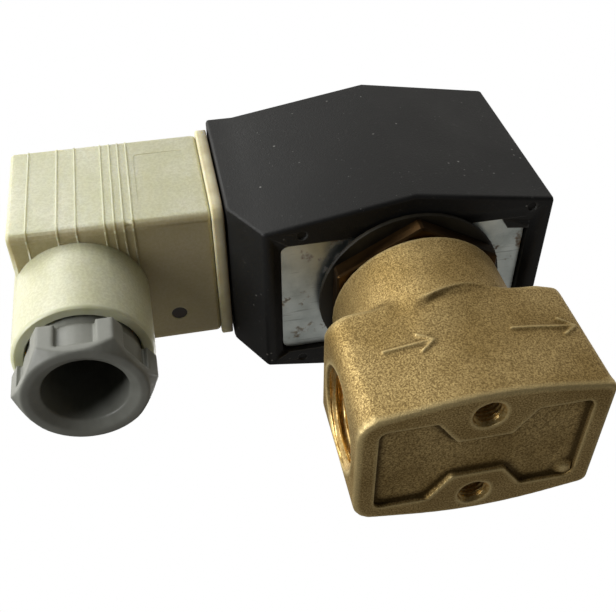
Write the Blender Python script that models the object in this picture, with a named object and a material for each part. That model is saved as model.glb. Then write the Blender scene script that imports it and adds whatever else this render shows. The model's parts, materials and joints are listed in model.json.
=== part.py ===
"""Solenoid valve, two ports, direct acting, with a plug-in coil.

The valve stands on its base, z = 0. The guide tube's axis is vertical, the ports lie along X with
the inlet at -X, and the plug connector is on the coil's -X side with its cable gland pointing down.
The origin is the middle of the whole object's plan, on the base. Units are metres.
"""

import math

import bmesh
import bpy
from mathutils import Matrix, Vector

MM = 0.001

# --- fits shared by all pieces -------------------------------------------------------------------
GAP = 0.3 * MM                     # between two pieces that touch
ROUND = 48                         # sides of a large round piece
SMALL_ROUND = 24                   # sides of a small round piece

# --- valve body ----------------------------------------------------------------------------------
BLOCK_LENGTH = 40.0 * MM           # face to face of the ports
BLOCK_DEPTH = 24.4 * MM            # at the port faces
BLOCK_HEIGHT = 22.9 * MM
BLOCK_BOW = 2.0 * MM               # how far the long sides bow out at mid length
INLET_CORNER = 4.0 * MM            # upright corners at the inlet end
OUTLET_CORNER = 1.6 * MM           # upright corners at the outlet end
NECK_RADIUS = 15.7 * MM
NECK_TOP = 35.2 * MM
NECK_TAPER = 3.0 * MM              # height of the cone under the neck's overhang
PORT_HEIGHT = 11.8 * MM            # port axis above the base
PORT_RADIUS = 7.5 * MM             # core of a 3/8 inch pipe thread
PORT_MOUTH_RADIUS = 8.5 * MM
PORT_DEPTH = 10.5 * MM
PILOT_RADIUS = 3.6 * MM            # drilling behind each port
SEAT_BORE_RADIUS = 1.75 * MM
SEAT_RADIUS = 4.2 * MM
CHAMBER_RADIUS = 9.0 * MM
CHAMBER_FLOOR = 21.0 * MM
SEAT_HEIGHT = 1.5 * MM
O_RING_LEDGE = 26.5 * MM
BONNET_THREAD_RADIUS = 12.0 * MM
MOUNT_HOLE_RADIUS = 2.1 * MM       # core of an M5 thread
MOUNT_HOLE_MOUTH = 2.75 * MM
MOUNT_HOLE_SPACING = 19.2 * MM
MOUNT_HOLE_DEPTH = 6.5 * MM
POCKET_DEPTH = 1.0 * MM
POCKET_END_RIM = 3.3 * MM          # width of the rim at the port ends
POCKET_SIDE_RIM = 2.9 * MM         # width of the rim along the long sides
POCKET_BOSS_WIDE = 15.8 * MM       # mounting boss at the rim
POCKET_BOSS_NARROW = 8.8 * MM      # mounting boss at its tip
POCKET_BOSS_REACH = 5.0 * MM
POCKET_CORNER = 1.4 * MM
POCKET_BEND = 0.7 * MM

# --- guide tube, core and plunger ----------------------------------------------------------------
TUBE_RADIUS = 6.7 * MM
TUBE_WALL = 0.5 * MM
TUBE_FLANGE_RADIUS = 11.2 * MM
TUBE_FLANGE_THICK = 1.1 * MM
O_RING_SECTION = 1.9 * MM
PLUNGER_CLEARANCE = 0.5 * MM       # radial, inside the tube
PLUNGER_LENGTH = 30.0 * MM
STROKE = 2.5 * MM
SEAL_RADIUS = 3.2 * MM
SEAL_THICK = 3.0 * MM
SEAL_PROUD = 0.6 * MM
SPRING_WIRE_RADIUS = 0.35 * MM
SPRING_RADIUS = 2.3 * MM
SPRING_TURNS = 6
SPRING_POCKET_DEPTH = 11.0 * MM
TUBE_IN_YOKE = 1.1 * MM            # guide tube's end above the yoke's lower face
RING_GROOVE_DEPTH = 1.5 * MM
STUD_RADIUS = 3.9 * MM             # M8

# --- bonnet and coil gasket ----------------------------------------------------------------------
BONNET_ACROSS_FLATS = 29.4 * MM
BONNET_HEX_THICK = 3.2 * MM
GASKET_RADIUS = 17.1 * MM
GASKET_RIM_THICK = 0.8 * MM
GASKET_HUB_RADIUS = 11.0 * MM

# --- coil ----------------------------------------------------------------------------------------
COIL_BOTTOM = 40.1 * MM
COIL_HEIGHT = 39.1 * MM
COIL_FRONT_REACH = 26.0 * MM       # from the axis to the blank end
COIL_BACK_REACH = 32.0 * MM        # from the axis to the plug face
COIL_FOOT_REACH = 26.7 * MM        # the same at the bottom, below the slope
COIL_SLOPE_HEIGHT = 9.1 * MM
COIL_SIDE = 16.2 * MM              # half width at the ends
COIL_ROOF = 20.6 * MM              # half width at the ridge
OPENING_RADIUS = 1.5 * MM
YOKE_BACK = 23.6 * MM              # from the axis to the plug-side leg's outer face
YOKE_FRONT = 21.6 * MM
YOKE_HALF_WIDTH = 12.7 * MM
YOKE_THICK = 3.0 * MM
YOKE_RECESS = 1.1 * MM             # yoke plate behind the shell's bottom face
SHELL_TOP_THICK = 2.3 * MM
BOBBIN_WALL = 1.0 * MM
BOBBIN_FLANGE_RADIUS = 12.2 * MM
BOBBIN_FLANGE_THICK = 1.2 * MM
WINDING_THICK = 2.9 * MM
LABEL_LENGTH = 26.0 * MM
LABEL_HEIGHT = 24.0 * MM
LABEL_THICK = 0.3 * MM
LABEL_RECESS = 0.8 * MM

# --- top nut -------------------------------------------------------------------------------------
TOP_WASHER_RADIUS = 9.0 * MM
TOP_WASHER_THICK = 1.2 * MM
TOP_NUT_ACROSS_FLATS = 13.0 * MM
TOP_NUT_THICK = 4.0 * MM
STUD_PROUD = 1.6 * MM              # stud above the nut

# --- plug connector ------------------------------------------------------------------------------
PLUG_REACH = 70.15 * MM            # from the axis to the housing's far end
PLUG_GASKET_THICK = 1.9 * MM
PLUG_HALF_WIDTH = 14.7 * MM
PLUG_HEIGHT = 27.4 * MM
PLUG_CENTRE = 63.5 * MM            # height of the fixing screw
PLUG_WALL = 1.8 * MM
PLUG_LIP = 0.9 * MM                # how far the gasket stands past the housing
PLUG_EDGE = 1.6 * MM
BLADE_SPACING = 18.0 * MM
BLADE_WIDTH = 6.3 * MM
BLADE_THICK = 0.8 * MM
BLADE_PROUD = 10.0 * MM
TERMINAL_BASE_DEPTH = 6.0 * MM
TERMINAL_BASE_HALF = 12.0 * MM
BLOCK_OF_TERMINALS_DEPTH = 15.0 * MM
CONTACT_WALL = 0.6 * MM
SCREW_RADIUS = 1.5 * MM            # M3
SCREW_HEAD_RADIUS = 3.0 * MM
SCREW_HEAD_THICK = 2.2 * MM
INSERT_RADIUS = 2.8 * MM

# --- cable gland ---------------------------------------------------------------------------------
GLAND_OFFSET = 59.3 * MM           # from the valve's axis to the gland's
BOSS_RADIUS = 12.1 * MM
BOSS_BORE = 9.85 * MM
BOSS_BOTTOM = 33.2 * MM
NUT_ACROSS_FLATS = 21.0 * MM
NUT_HEAD_THICK = 7.0 * MM
NUT_HOLE_RADIUS = 7.2 * MM
NUT_MOUTH_RADIUS = 8.9 * MM
NUT_SHOW = 1.7 * MM                # spigot that shows between the boss and the nut's head
GLAND_WASHER_THICK = 1.2 * MM
GROMMET_LENGTH = 7.5 * MM
GROMMET_BORE = 4.0 * MM

# --- places worked out from the sizes above ------------------------------------------------------
GLAND_REACH = GLAND_OFFSET + max(BOSS_RADIUS, NUT_ACROSS_FLATS / math.sqrt(3))
AXIS_X = (max(PLUG_REACH, GLAND_REACH) - COIL_FRONT_REACH) / 2   # puts the plan's centre at x = 0
SEAT_TOP = CHAMBER_FLOOR + SEAT_HEIGHT
PLUNGER_BOTTOM = SEAT_TOP + GAP + SEAL_PROUD
PLUNGER_RADIUS = TUBE_RADIUS - TUBE_WALL - PLUNGER_CLEARANCE
PLUNGER_TOP = PLUNGER_BOTTOM + PLUNGER_LENGTH
CORE_BOTTOM = PLUNGER_TOP + STROKE + GAP
CORE_RADIUS = TUBE_RADIUS - TUBE_WALL - GAP
TUBE_BOTTOM = O_RING_LEDGE + O_RING_SECTION + 2 * GAP
BONNET_BOTTOM = TUBE_BOTTOM + TUBE_FLANGE_THICK + GAP
BONNET_HEX_BOTTOM = NECK_TOP + GAP
BONNET_TOP = BONNET_HEX_BOTTOM + BONNET_HEX_THICK
TUBE_CLEAR_RADIUS = TUBE_RADIUS + GAP
COIL_TOP = COIL_BOTTOM + COIL_HEIGHT
YOKE_PLATE_BOTTOM = COIL_BOTTOM + YOKE_RECESS
YOKE_PLATE_TOP = YOKE_PLATE_BOTTOM + YOKE_THICK
CAVITY_TOP = COIL_TOP - SHELL_TOP_THICK
YOKE_TOP = CAVITY_TOP - GAP
TUBE_TOP = YOKE_TOP - YOKE_THICK + TUBE_IN_YOKE
BOBBIN_BOTTOM = YOKE_PLATE_TOP + GAP
BOBBIN_TOP = YOKE_TOP - YOKE_THICK - GAP
GASKET_BOTTOM = BONNET_TOP + GAP
GASKET_TOP = YOKE_PLATE_BOTTOM - GAP
TOP_WASHER_BOTTOM = COIL_TOP + GAP
TOP_NUT_BOTTOM = TOP_WASHER_BOTTOM + TOP_WASHER_THICK + GAP
STUD_TOP = TOP_NUT_BOTTOM + TOP_NUT_THICK + STUD_PROUD
PLUG_FACE = -COIL_BACK_REACH                       # coil's face for the plug, seen from the axis
HOUSING_FACE = PLUG_FACE - 2 * GAP - PLUG_GASKET_THICK
PLUG_BOTTOM = PLUG_CENTRE - PLUG_HEIGHT / 2
PLUG_TOP = PLUG_CENTRE + PLUG_HEIGHT / 2
BLADE_ROOT = PLUG_FACE + TERMINAL_BASE_DEPTH - 1.0 * MM
EARTH_HEIGHT = PLUG_CENTRE - BLADE_SPACING / 2
GROMMET_TOP = PLUG_BOTTOM + PLUG_WALL - GAP
GROMMET_BOTTOM = GROMMET_TOP - GROMMET_LENGTH
WASHER_BOTTOM = GROMMET_BOTTOM - GAP - GLAND_WASHER_THICK
NUT_SPIGOT_TOP = WASHER_BOTTOM - GAP
NUT_HEAD_TOP = BOSS_BOTTOM - NUT_SHOW
NUT_BOTTOM = NUT_HEAD_TOP - NUT_HEAD_THICK

COLOURS = {
    "forged_brass": ((0.42, 0.29, 0.10), 0.42, 1.0),
    "turned_brass": ((0.50, 0.36, 0.13), 0.30, 1.0),
    "stainless": ((0.55, 0.55, 0.53), 0.28, 1.0),
    "soft_iron": ((0.38, 0.38, 0.38), 0.35, 1.0),
    "copper": ((0.60, 0.26, 0.13), 0.30, 1.0),
    "spring_steel": ((0.50, 0.50, 0.50), 0.25, 1.0),
    "zinc_plate": ((0.45, 0.48, 0.50), 0.45, 1.0),
    "black_rubber": ((0.012, 0.012, 0.012), 0.75, 0.0),
    "black_polyamide": ((0.022, 0.022, 0.023), 0.55, 0.0),
    "bobbin_white": ((0.62, 0.60, 0.52), 0.50, 0.0),
    "clear_polyamide": ((0.55, 0.52, 0.34), 0.40, 0.0),
    "clear_silicone": ((0.55, 0.50, 0.32), 0.60, 0.0),
    "grey_polyamide": ((0.16, 0.16, 0.14), 0.50, 0.0),
    "terminal_black": ((0.035, 0.025, 0.02), 0.50, 0.0),
    "board_green": ((0.03, 0.16, 0.07), 0.50, 0.0),
    "lamp_red": ((0.55, 0.03, 0.02), 0.20, 0.0),
    "silver_label": ((0.60, 0.60, 0.60), 0.40, 0.6),
}


# --- scene, materials and frames -----------------------------------------------------------------
def clear_scene():
    for obj in list(bpy.data.objects):
        bpy.data.objects.remove(obj)


def make_materials():
    made = {}
    for name, (colour, roughness, metallic) in COLOURS.items():
        material = bpy.data.materials.new(name)
        material.use_nodes = True
        shader = material.node_tree.nodes["Principled BSDF"]
        shader.inputs["Base Color"].default_value = (*colour, 1.0)
        shader.inputs["Roughness"].default_value = roughness
        shader.inputs["Metallic"].default_value = metallic
        material.diffuse_color = (*colour, 1.0)
        made[name] = material
    return made


def frame_empty(name, x, y=0.0, z=0.0, parent=None):
    """An empty on a joint's axis. The place is given in the parent's frame."""
    empty = bpy.data.objects.new(name, None)
    empty.empty_display_size = 0.01
    empty.location = (x, y, z)
    empty.parent = parent
    bpy.context.collection.objects.link(empty)
    return empty


# --- shapes --------------------------------------------------------------------------------------
def add_object(name, bm, parent, material=None):
    bm.normal_update()
    bmesh.ops.recalc_face_normals(bm, faces=bm.faces)
    mesh = bpy.data.meshes.new(name)
    bm.to_mesh(mesh)
    bm.free()
    obj = bpy.data.objects.new(name, mesh)
    obj.parent = parent
    if material:
        mesh.materials.append(material)
    bpy.context.collection.objects.link(obj)
    return obj


def turn(bm, profile, sides, centre=(0.0, 0.0), axis="Z"):
    """Spin a closed outline of (radius, height) points about an axis through centre."""
    verts = [bm.verts.new((radius, 0.0, height)) for radius, height in profile]
    edges = [bm.edges.new((verts[i], verts[(i + 1) % len(verts)])) for i in range(len(verts))]
    on_axis = [e for e in edges if max(v.co.x for v in e.verts) < 1e-7]
    bmesh.ops.delete(bm, geom=on_axis, context="EDGES_FACES")
    edges = [e for e in edges if e.is_valid]
    bmesh.ops.spin(bm, geom=verts_of(edges) + edges, cent=(0, 0, 0), axis=(0, 0, 1),
                   angle=math.tau, steps=sides, use_merge=True)
    bmesh.ops.remove_doubles(bm, verts=bm.verts, dist=1e-7)
    loose = [v for v in bm.verts if not v.link_faces]
    bmesh.ops.delete(bm, geom=loose, context="VERTS")
    if axis == "X":
        bmesh.ops.rotate(bm, verts=bm.verts, matrix=Matrix.Rotation(math.pi / 2, 3, "Y"))
    shift = (0.0, *centre) if axis == "X" else (*centre, 0.0)
    bmesh.ops.translate(bm, verts=bm.verts, vec=shift)


def verts_of(edges):
    return list({v for e in edges for v in e.verts})


def turned(name, profile, parent, material=None, sides=ROUND, centre=(0.0, 0.0), axis="Z"):
    bm = bmesh.new()
    turn(bm, profile, sides, centre, axis)
    return add_object(name, bm, parent, material)


def ring_profile(inner, outer, low, high, edge=0.0):
    """Section of a plain ring, its four corners cut by edge."""
    if edge == 0.0:
        return [(inner, low), (outer, low), (outer, high), (inner, high)]
    return [(inner + edge, low), (outer - edge, low), (outer, low + edge), (outer, high - edge),
            (outer - edge, high), (inner + edge, high), (inner, high - edge), (inner, low + edge)]


def rod_profile(radius, low, high, edge=0.0):
    if edge == 0.0:
        return [(0.0, low), (radius, low), (radius, high), (0.0, high)]
    return [(0.0, low), (radius - edge, low), (radius, low + edge), (radius, high - edge),
            (radius - edge, high), (0.0, high)]


def fill_prism(bm, outline, low, high):
    """Extrude a flat outline of (x, y) points from low to high."""
    face = bm.faces.new([bm.verts.new((x, y, low)) for x, y in outline])
    grown = bmesh.ops.extrude_face_region(bm, geom=[face])
    top = [v for v in grown["geom"] if isinstance(v, bmesh.types.BMVert)]
    bmesh.ops.translate(bm, verts=top, vec=(0.0, 0.0, high - low))


AXIS_TURN = {"Z": Matrix.Identity(3),
             "X": Matrix(((0, 0, 1), (1, 0, 0), (0, 1, 0))),
             "Y": Matrix(((1, 0, 0), (0, 0, 1), (0, 1, 0)))}


def prism(name, outline, low, high, parent, material=None, along="Z"):
    """A prism along an axis. Its outline is (x, y) for Z, (y, z) for X and (x, z) for Y."""
    bm = bmesh.new()
    fill_prism(bm, outline, low, high)
    for vert in bm.verts:
        vert.co = AXIS_TURN[along] @ vert.co
    return add_object(name, bm, parent, material)


def rectangle(x0, x1, y0, y1):
    return [(x0, y0), (x1, y0), (x1, y1), (x0, y1)]


def hexagon(across_flats, turn_by=0.0):
    radius = across_flats / math.sqrt(3)
    return [(radius * math.cos(turn_by + math.tau * i / 6), radius * math.sin(turn_by + math.tau * i / 6))
            for i in range(6)]


def softened(outline, radius, steps=3):
    """Replace each corner of an outline by an arc. radius is one number, or one per corner."""
    radii = radius if isinstance(radius, list) else [radius] * len(outline)
    out = []
    for i, corner in enumerate(outline):
        here = Vector(corner)
        before = (Vector(outline[i - 1]) - here).normalized()
        after = (Vector(outline[(i + 1) % len(outline)]) - here).normalized()
        half = before.angle(after) / 2
        centre = here + (before + after).normalized() * (radii[i] / math.sin(half))
        start = here + before * (radii[i] / math.tan(half)) - centre
        end = here + after * (radii[i] / math.tan(half)) - centre
        sweep = start.angle_signed(end)
        for step in range(steps + 1):
            angle = -sweep * step / steps
            point = centre + Matrix.Rotation(angle, 2) @ start
            out.append((point.x, point.y))
    return out


def hide_as_guide(obj):
    obj.hide_render = True
    obj.display_type = "WIRE"
    return obj


def cut(obj, cutter):
    modifier = obj.modifiers.new("cut", "BOOLEAN")
    modifier.operation = "DIFFERENCE"
    modifier.object = hide_as_guide(cutter)


def join(obj, other):
    modifier = obj.modifiers.new("join", "BOOLEAN")
    modifier.operation = "UNION"
    modifier.object = hide_as_guide(other)


def bevel(obj, width, segments=1, angle=40.0):
    modifier = obj.modifiers.new("edges", "BEVEL")
    modifier.width = width
    modifier.segments = segments
    modifier.limit_method = "ANGLE"
    modifier.angle_limit = math.radians(angle)


def smooth(obj, angle=35.0):
    obj.data.shade_smooth()
    obj.data.set_sharp_from_angle(angle=math.radians(angle))


# --- valve body ----------------------------------------------------------------------------------
def block_outline():
    """Plan of the block: straight port faces, and long sides that bow out."""
    half = BLOCK_LENGTH / 2
    depth = BLOCK_DEPTH / 2
    corners = softened(rectangle(-half, half, -depth, depth),
                       [INLET_CORNER, OUTLET_CORNER, OUTLET_CORNER, INLET_CORNER], 4)
    start = -half + INLET_CORNER
    end = half - OUTLET_CORNER
    steps = 10
    along = [start + (end - start) * i / steps for i in range(1, steps)]
    front = [(x, -depth - bow_at(x, start, end)) for x in along]
    back = [(x, depth + bow_at(x, start, end)) for x in reversed(along)]
    return corners[:5] + front + corners[5:15] + back + corners[15:]


def bow_at(x, start, end):
    middle = (start + end) / 2
    share = (x - middle) / ((end - start) / 2)
    return BLOCK_BOW * (1 - share * share) ** 1.2


def pocket_outline():
    """The base's pocket, with a mounting boss that reaches in from each long side."""
    x = BLOCK_LENGTH / 2 - POCKET_END_RIM
    y = BLOCK_DEPTH / 2 - POCKET_SIDE_RIM
    tip = y - POCKET_BOSS_REACH
    wide = POCKET_BOSS_WIDE / 2
    narrow = POCKET_BOSS_NARROW / 2
    side = [(-x, -y), (-wide, -y), (-narrow, -tip), (narrow, -tip), (wide, -y), (x, -y)]
    radii = [POCKET_CORNER, *[POCKET_BEND] * 4, POCKET_CORNER]
    return softened(side + [(-px, -py) for px, py in side], radii * 2, 2)


def port_cutter(name, side, parent):
    """Core bore, mouth chamfer and the drilling behind it. side is -1 for the inlet, 1 for the outlet."""
    face = BLOCK_LENGTH / 2
    inner = -SEAT_BORE_RADIUS - 0.5 * MM if side > 0 else PILOT_RADIUS + 0.9 * MM
    chamfer = PORT_MOUTH_RADIUS - PORT_RADIUS
    profile = [(0.0, inner), (PILOT_RADIUS, inner), (PILOT_RADIUS, face - PORT_DEPTH - 2.0 * MM),
               (PORT_RADIUS, face - PORT_DEPTH), (PORT_RADIUS, face - chamfer),
               (PORT_MOUTH_RADIUS, face), (PORT_MOUTH_RADIUS, face + 1.0 * MM), (0.0, face + 1.0 * MM)]
    profile = [(radius, side * along) for radius, along in profile]
    return turned(name, profile, parent, sides=32, centre=(0.0, PORT_HEIGHT), axis="X")


def body_cutters(parent):
    chamber = turned("cut_chamber", [(0.0, SEAT_TOP), (3.0 * MM, SEAT_TOP), (SEAT_RADIUS, CHAMBER_FLOOR),
                                     (CHAMBER_RADIUS, CHAMBER_FLOOR), (CHAMBER_RADIUS, O_RING_LEDGE),
                                     (BONNET_THREAD_RADIUS, O_RING_LEDGE),
                                     (BONNET_THREAD_RADIUS, NECK_TOP + 1.0 * MM),
                                     (0.0, NECK_TOP + 1.0 * MM)], parent)
    orifice = turned("cut_orifice", rod_profile(SEAT_BORE_RADIUS, PORT_HEIGHT, SEAT_TOP + 1.0 * MM),
                     parent, sides=SMALL_ROUND)
    riser_x = -(SEAT_RADIUS + CHAMBER_RADIUS) / 2
    riser = turned("cut_riser", rod_profile(SEAT_BORE_RADIUS, PORT_HEIGHT, CHAMBER_FLOOR + 1.0 * MM),
                   parent, sides=16, centre=(riser_x, 0.0))
    pocket = prism("cut_pocket", pocket_outline(), -1.0 * MM, POCKET_DEPTH, parent)
    cutters = [chamber, port_cutter("cut_inlet", -1, parent), port_cutter("cut_outlet", 1, parent),
               orifice, riser, pocket]
    chamfer = MOUNT_HOLE_MOUTH - MOUNT_HOLE_RADIUS
    hole = [(0.0, -1.0 * MM), (MOUNT_HOLE_MOUTH, -1.0 * MM), (MOUNT_HOLE_MOUTH, 0.0),
            (MOUNT_HOLE_RADIUS, chamfer), (MOUNT_HOLE_RADIUS, MOUNT_HOLE_DEPTH),
            (0.0, MOUNT_HOLE_DEPTH + MOUNT_HOLE_RADIUS)]
    for index, side in enumerate((-1, 1)):
        cutters.append(turned(f"cut_mount_{index}", hole, parent, sides=20,
                              centre=(0.0, side * MOUNT_HOLE_SPACING / 2)))
    return cutters


def make_valve_body(parent, materials):
    body = prism("valve_body", block_outline(), 0.0, BLOCK_HEIGHT, parent, materials["forged_brass"])
    bevel(body, 0.7 * MM, 2)
    taper_start = BLOCK_HEIGHT - NECK_TAPER
    side = BLOCK_DEPTH / 2 + BLOCK_BOW - 0.5 * MM
    neck = turned("guide_neck", [(0.0, taper_start), (side, taper_start), (NECK_RADIUS, BLOCK_HEIGHT),
                                 (NECK_RADIUS, NECK_TOP - 0.6 * MM), (NECK_RADIUS - 0.6 * MM, NECK_TOP),
                                 (0.0, NECK_TOP)], parent)
    join(body, neck)
    for cutter in body_cutters(parent):
        cut(body, cutter)
    smooth(body)


# --- pieces on the valve's axis ------------------------------------------------------------------
def make_o_ring(parent, materials):
    middle = O_RING_LEDGE + GAP + O_RING_SECTION / 2
    radius = BONNET_THREAD_RADIUS - GAP - O_RING_SECTION / 2
    section = [(radius + O_RING_SECTION / 2 * math.cos(math.tau * i / 10),
                middle + O_RING_SECTION / 2 * math.sin(math.tau * i / 10)) for i in range(10)]
    smooth(turned("body_o_ring", section, parent, materials["black_rubber"], sides=40), 60)


def make_bonnet(parent, materials):
    outline = hexagon(BONNET_ACROSS_FLATS, math.pi / 6)
    bonnet = prism("bonnet", outline, BONNET_HEX_BOTTOM, BONNET_TOP, parent, materials["turned_brass"])
    bevel(bonnet, 0.35 * MM)
    thread = rod_profile(BONNET_THREAD_RADIUS - GAP, BONNET_BOTTOM, BONNET_HEX_BOTTOM + 1.0 * MM, 0.4 * MM)
    join(bonnet, turned("guide_bonnet_thread", thread, parent))
    cut(bonnet, turned("cut_bonnet", rod_profile(TUBE_CLEAR_RADIUS, BONNET_BOTTOM - 1.0 * MM,
                                                 BONNET_TOP + 1.0 * MM), parent, sides=40))
    smooth(bonnet)


def make_guide_tube(parent, materials):
    inner = TUBE_RADIUS - TUBE_WALL
    flange_top = TUBE_BOTTOM + TUBE_FLANGE_THICK
    profile = [(inner, TUBE_BOTTOM), (TUBE_FLANGE_RADIUS, TUBE_BOTTOM), (TUBE_FLANGE_RADIUS, flange_top),
               (TUBE_RADIUS, flange_top), (TUBE_RADIUS, TUBE_TOP), (inner, TUBE_TOP)]
    smooth(turned("guide_tube", profile, parent, materials["stainless"], sides=40))


def make_fixed_core(parent, materials):
    groove_in = SPRING_RADIUS + 1.3 * MM
    groove_out = groove_in + 1.5 * MM
    collar_top = COIL_TOP - GAP
    profile = [(0.0, CORE_BOTTOM), (groove_in, CORE_BOTTOM), (groove_in, CORE_BOTTOM + RING_GROOVE_DEPTH),
               (groove_out, CORE_BOTTOM + RING_GROOVE_DEPTH), (groove_out, CORE_BOTTOM),
               (CORE_RADIUS, CORE_BOTTOM), (CORE_RADIUS, TUBE_TOP + GAP), (TUBE_RADIUS, TUBE_TOP + GAP),
               (TUBE_RADIUS, collar_top), (STUD_RADIUS, collar_top), (STUD_RADIUS, STUD_TOP - 0.7 * MM),
               (STUD_RADIUS - 0.7 * MM, STUD_TOP), (0.0, STUD_TOP)]
    smooth(turned("fixed_core", profile, parent, materials["soft_iron"], sides=40))
    ring = ring_profile(groove_in + GAP, groove_out - GAP, CORE_BOTTOM + 0.1 * MM,
                        CORE_BOTTOM + RING_GROOVE_DEPTH - GAP)
    smooth(turned("shading_ring", ring, parent, materials["copper"], sides=SMALL_ROUND))


def make_spring(parent, materials):
    """A round-wire coil spring between the plunger's pocket and the fixed core."""
    low = PLUNGER_TOP - SPRING_POCKET_DEPTH + GAP + SPRING_WIRE_RADIUS
    high = CORE_BOTTOM - GAP - SPRING_WIRE_RADIUS
    per_turn = 14
    count = SPRING_TURNS * per_turn
    sides = 6
    bm = bmesh.new()
    rings = []
    for i in range(count + 1):
        share = i / count
        angle = math.tau * SPRING_TURNS * share
        eased = share - 0.9 * math.sin(math.tau * share) / math.tau
        outward = Vector((math.cos(angle), math.sin(angle), 0.0))
        centre = outward * SPRING_RADIUS + Vector((0.0, 0.0, low + (high - low) * eased))
        ring = []
        for k in range(sides):
            around = math.tau * k / sides
            offset = outward * math.cos(around) + Vector((0.0, 0.0, math.sin(around)))
            ring.append(bm.verts.new(centre + offset * SPRING_WIRE_RADIUS))
        rings.append(ring)
    for ring, after in zip(rings, rings[1:]):
        for k in range(sides):
            bm.faces.new((ring[k], ring[(k + 1) % sides], after[(k + 1) % sides], after[k]))
    bm.faces.new(rings[0])
    bm.faces.new(rings[-1])
    smooth(add_object("plunger_spring", bm, parent, materials["spring_steel"]), 70)


def make_coil_gasket(parent, materials):
    rim_top = GASKET_BOTTOM + GASKET_RIM_THICK
    profile = [(TUBE_CLEAR_RADIUS, GASKET_BOTTOM), (GASKET_RADIUS - 0.2 * MM, GASKET_BOTTOM),
               (GASKET_RADIUS, GASKET_BOTTOM + 0.2 * MM), (GASKET_RADIUS, rim_top - 0.2 * MM),
               (GASKET_RADIUS - 0.2 * MM, rim_top), (GASKET_HUB_RADIUS, rim_top),
               (GASKET_HUB_RADIUS, GASKET_TOP), (TUBE_CLEAR_RADIUS, GASKET_TOP)]
    smooth(turned("coil_gasket", profile, parent, materials["black_rubber"]))


def make_top_fixing(parent, materials):
    hole = STUD_RADIUS + GAP
    washer = ring_profile(hole, TOP_WASHER_RADIUS, TOP_WASHER_BOTTOM, TOP_WASHER_BOTTOM + TOP_WASHER_THICK,
                          0.2 * MM)
    smooth(turned("top_washer", washer, parent, materials["zinc_plate"], sides=36))
    top = TOP_NUT_BOTTOM + TOP_NUT_THICK
    nut = prism("top_nut", hexagon(TOP_NUT_ACROSS_FLATS), TOP_NUT_BOTTOM, top, parent,
                materials["zinc_plate"])
    bevel(nut, 0.25 * MM)
    cut(nut, turned("cut_top_nut", rod_profile(hole, TOP_NUT_BOTTOM - 1.0 * MM, top + 1.0 * MM), parent,
                    sides=SMALL_ROUND))
    smooth(nut)


def make_plunger(parent, materials):
    pocket_floor = PLUNGER_TOP - SPRING_POCKET_DEPTH
    pocket_radius = SPRING_RADIUS + SPRING_WIRE_RADIUS + 0.45 * MM
    seal_top = PLUNGER_BOTTOM - SEAL_PROUD + SEAL_THICK
    profile = [(SEAL_RADIUS + GAP, PLUNGER_BOTTOM), (PLUNGER_RADIUS - 0.5 * MM, PLUNGER_BOTTOM),
               (PLUNGER_RADIUS, PLUNGER_BOTTOM + 0.5 * MM), (PLUNGER_RADIUS, PLUNGER_TOP - 0.4 * MM),
               (PLUNGER_RADIUS - 0.4 * MM, PLUNGER_TOP), (pocket_radius, PLUNGER_TOP),
               (pocket_radius, pocket_floor), (0.0, pocket_floor), (0.0, seal_top + GAP),
               (SEAL_RADIUS + GAP, seal_top + GAP)]
    smooth(turned("plunger", profile, parent, materials["soft_iron"], sides=36))
    seal = rod_profile(SEAL_RADIUS, PLUNGER_BOTTOM - SEAL_PROUD, seal_top, 0.2 * MM)
    smooth(turned("plunger_seal", seal, parent, materials["black_rubber"], sides=SMALL_ROUND))


# --- coil ----------------------------------------------------------------------------------------
def coil_outline():
    foot = COIL_FOOT_REACH
    return [(-COIL_BACK_REACH, -COIL_SIDE), (-foot, -COIL_SIDE), (0.0, -COIL_ROOF),
            (COIL_FRONT_REACH, -COIL_SIDE), (COIL_FRONT_REACH, COIL_SIDE), (0.0, COIL_ROOF),
            (-foot, COIL_SIDE), (-COIL_BACK_REACH, COIL_SIDE)]


def shell_cutters(parent):
    """The yoke's cavity, the foot's slope, the stud hole, the terminal pocket and the label recess."""
    half = YOKE_HALF_WIDTH + GAP
    cavity = softened(rectangle(-YOKE_BACK - GAP, YOKE_FRONT + GAP, -half, half), OPENING_RADIUS)
    over = 2.0 * MM
    slope = [(-COIL_FOOT_REACH, COIL_BOTTOM), (-COIL_BACK_REACH, COIL_BOTTOM + COIL_SLOPE_HEIGHT),
             (-COIL_BACK_REACH - over, COIL_BOTTOM + COIL_SLOPE_HEIGHT),
             (-COIL_BACK_REACH - over, COIL_BOTTOM - over), (-COIL_FOOT_REACH, COIL_BOTTOM - over)]
    base = TERMINAL_BASE_HALF + GAP
    label_x = COIL_FRONT_REACH
    label_z = (COIL_BOTTOM + COIL_TOP) / 2
    return [prism("cut_cavity", cavity, COIL_BOTTOM - over, CAVITY_TOP, parent),
            prism("cut_slope", slope, -COIL_ROOF - over, COIL_ROOF + over, parent, along="Y"),
            turned("cut_stud_hole", rod_profile(TUBE_CLEAR_RADIUS, CAVITY_TOP - over, COIL_TOP + over),
                   parent, sides=36),
            prism("cut_terminal_pocket", rectangle(-base, base, PLUG_CENTRE - base, PLUG_CENTRE + base),
                  PLUG_FACE - over, PLUG_FACE + TERMINAL_BASE_DEPTH + GAP, parent, along="X"),
            prism("cut_label", softened(rectangle(-LABEL_LENGTH / 2 - GAP, LABEL_LENGTH / 2 + GAP,
                                                  label_z - LABEL_HEIGHT / 2 - GAP,
                                                  label_z + LABEL_HEIGHT / 2 + GAP), 1.0 * MM),
                  label_x - LABEL_RECESS, label_x + over, parent, along="X")]


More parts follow.
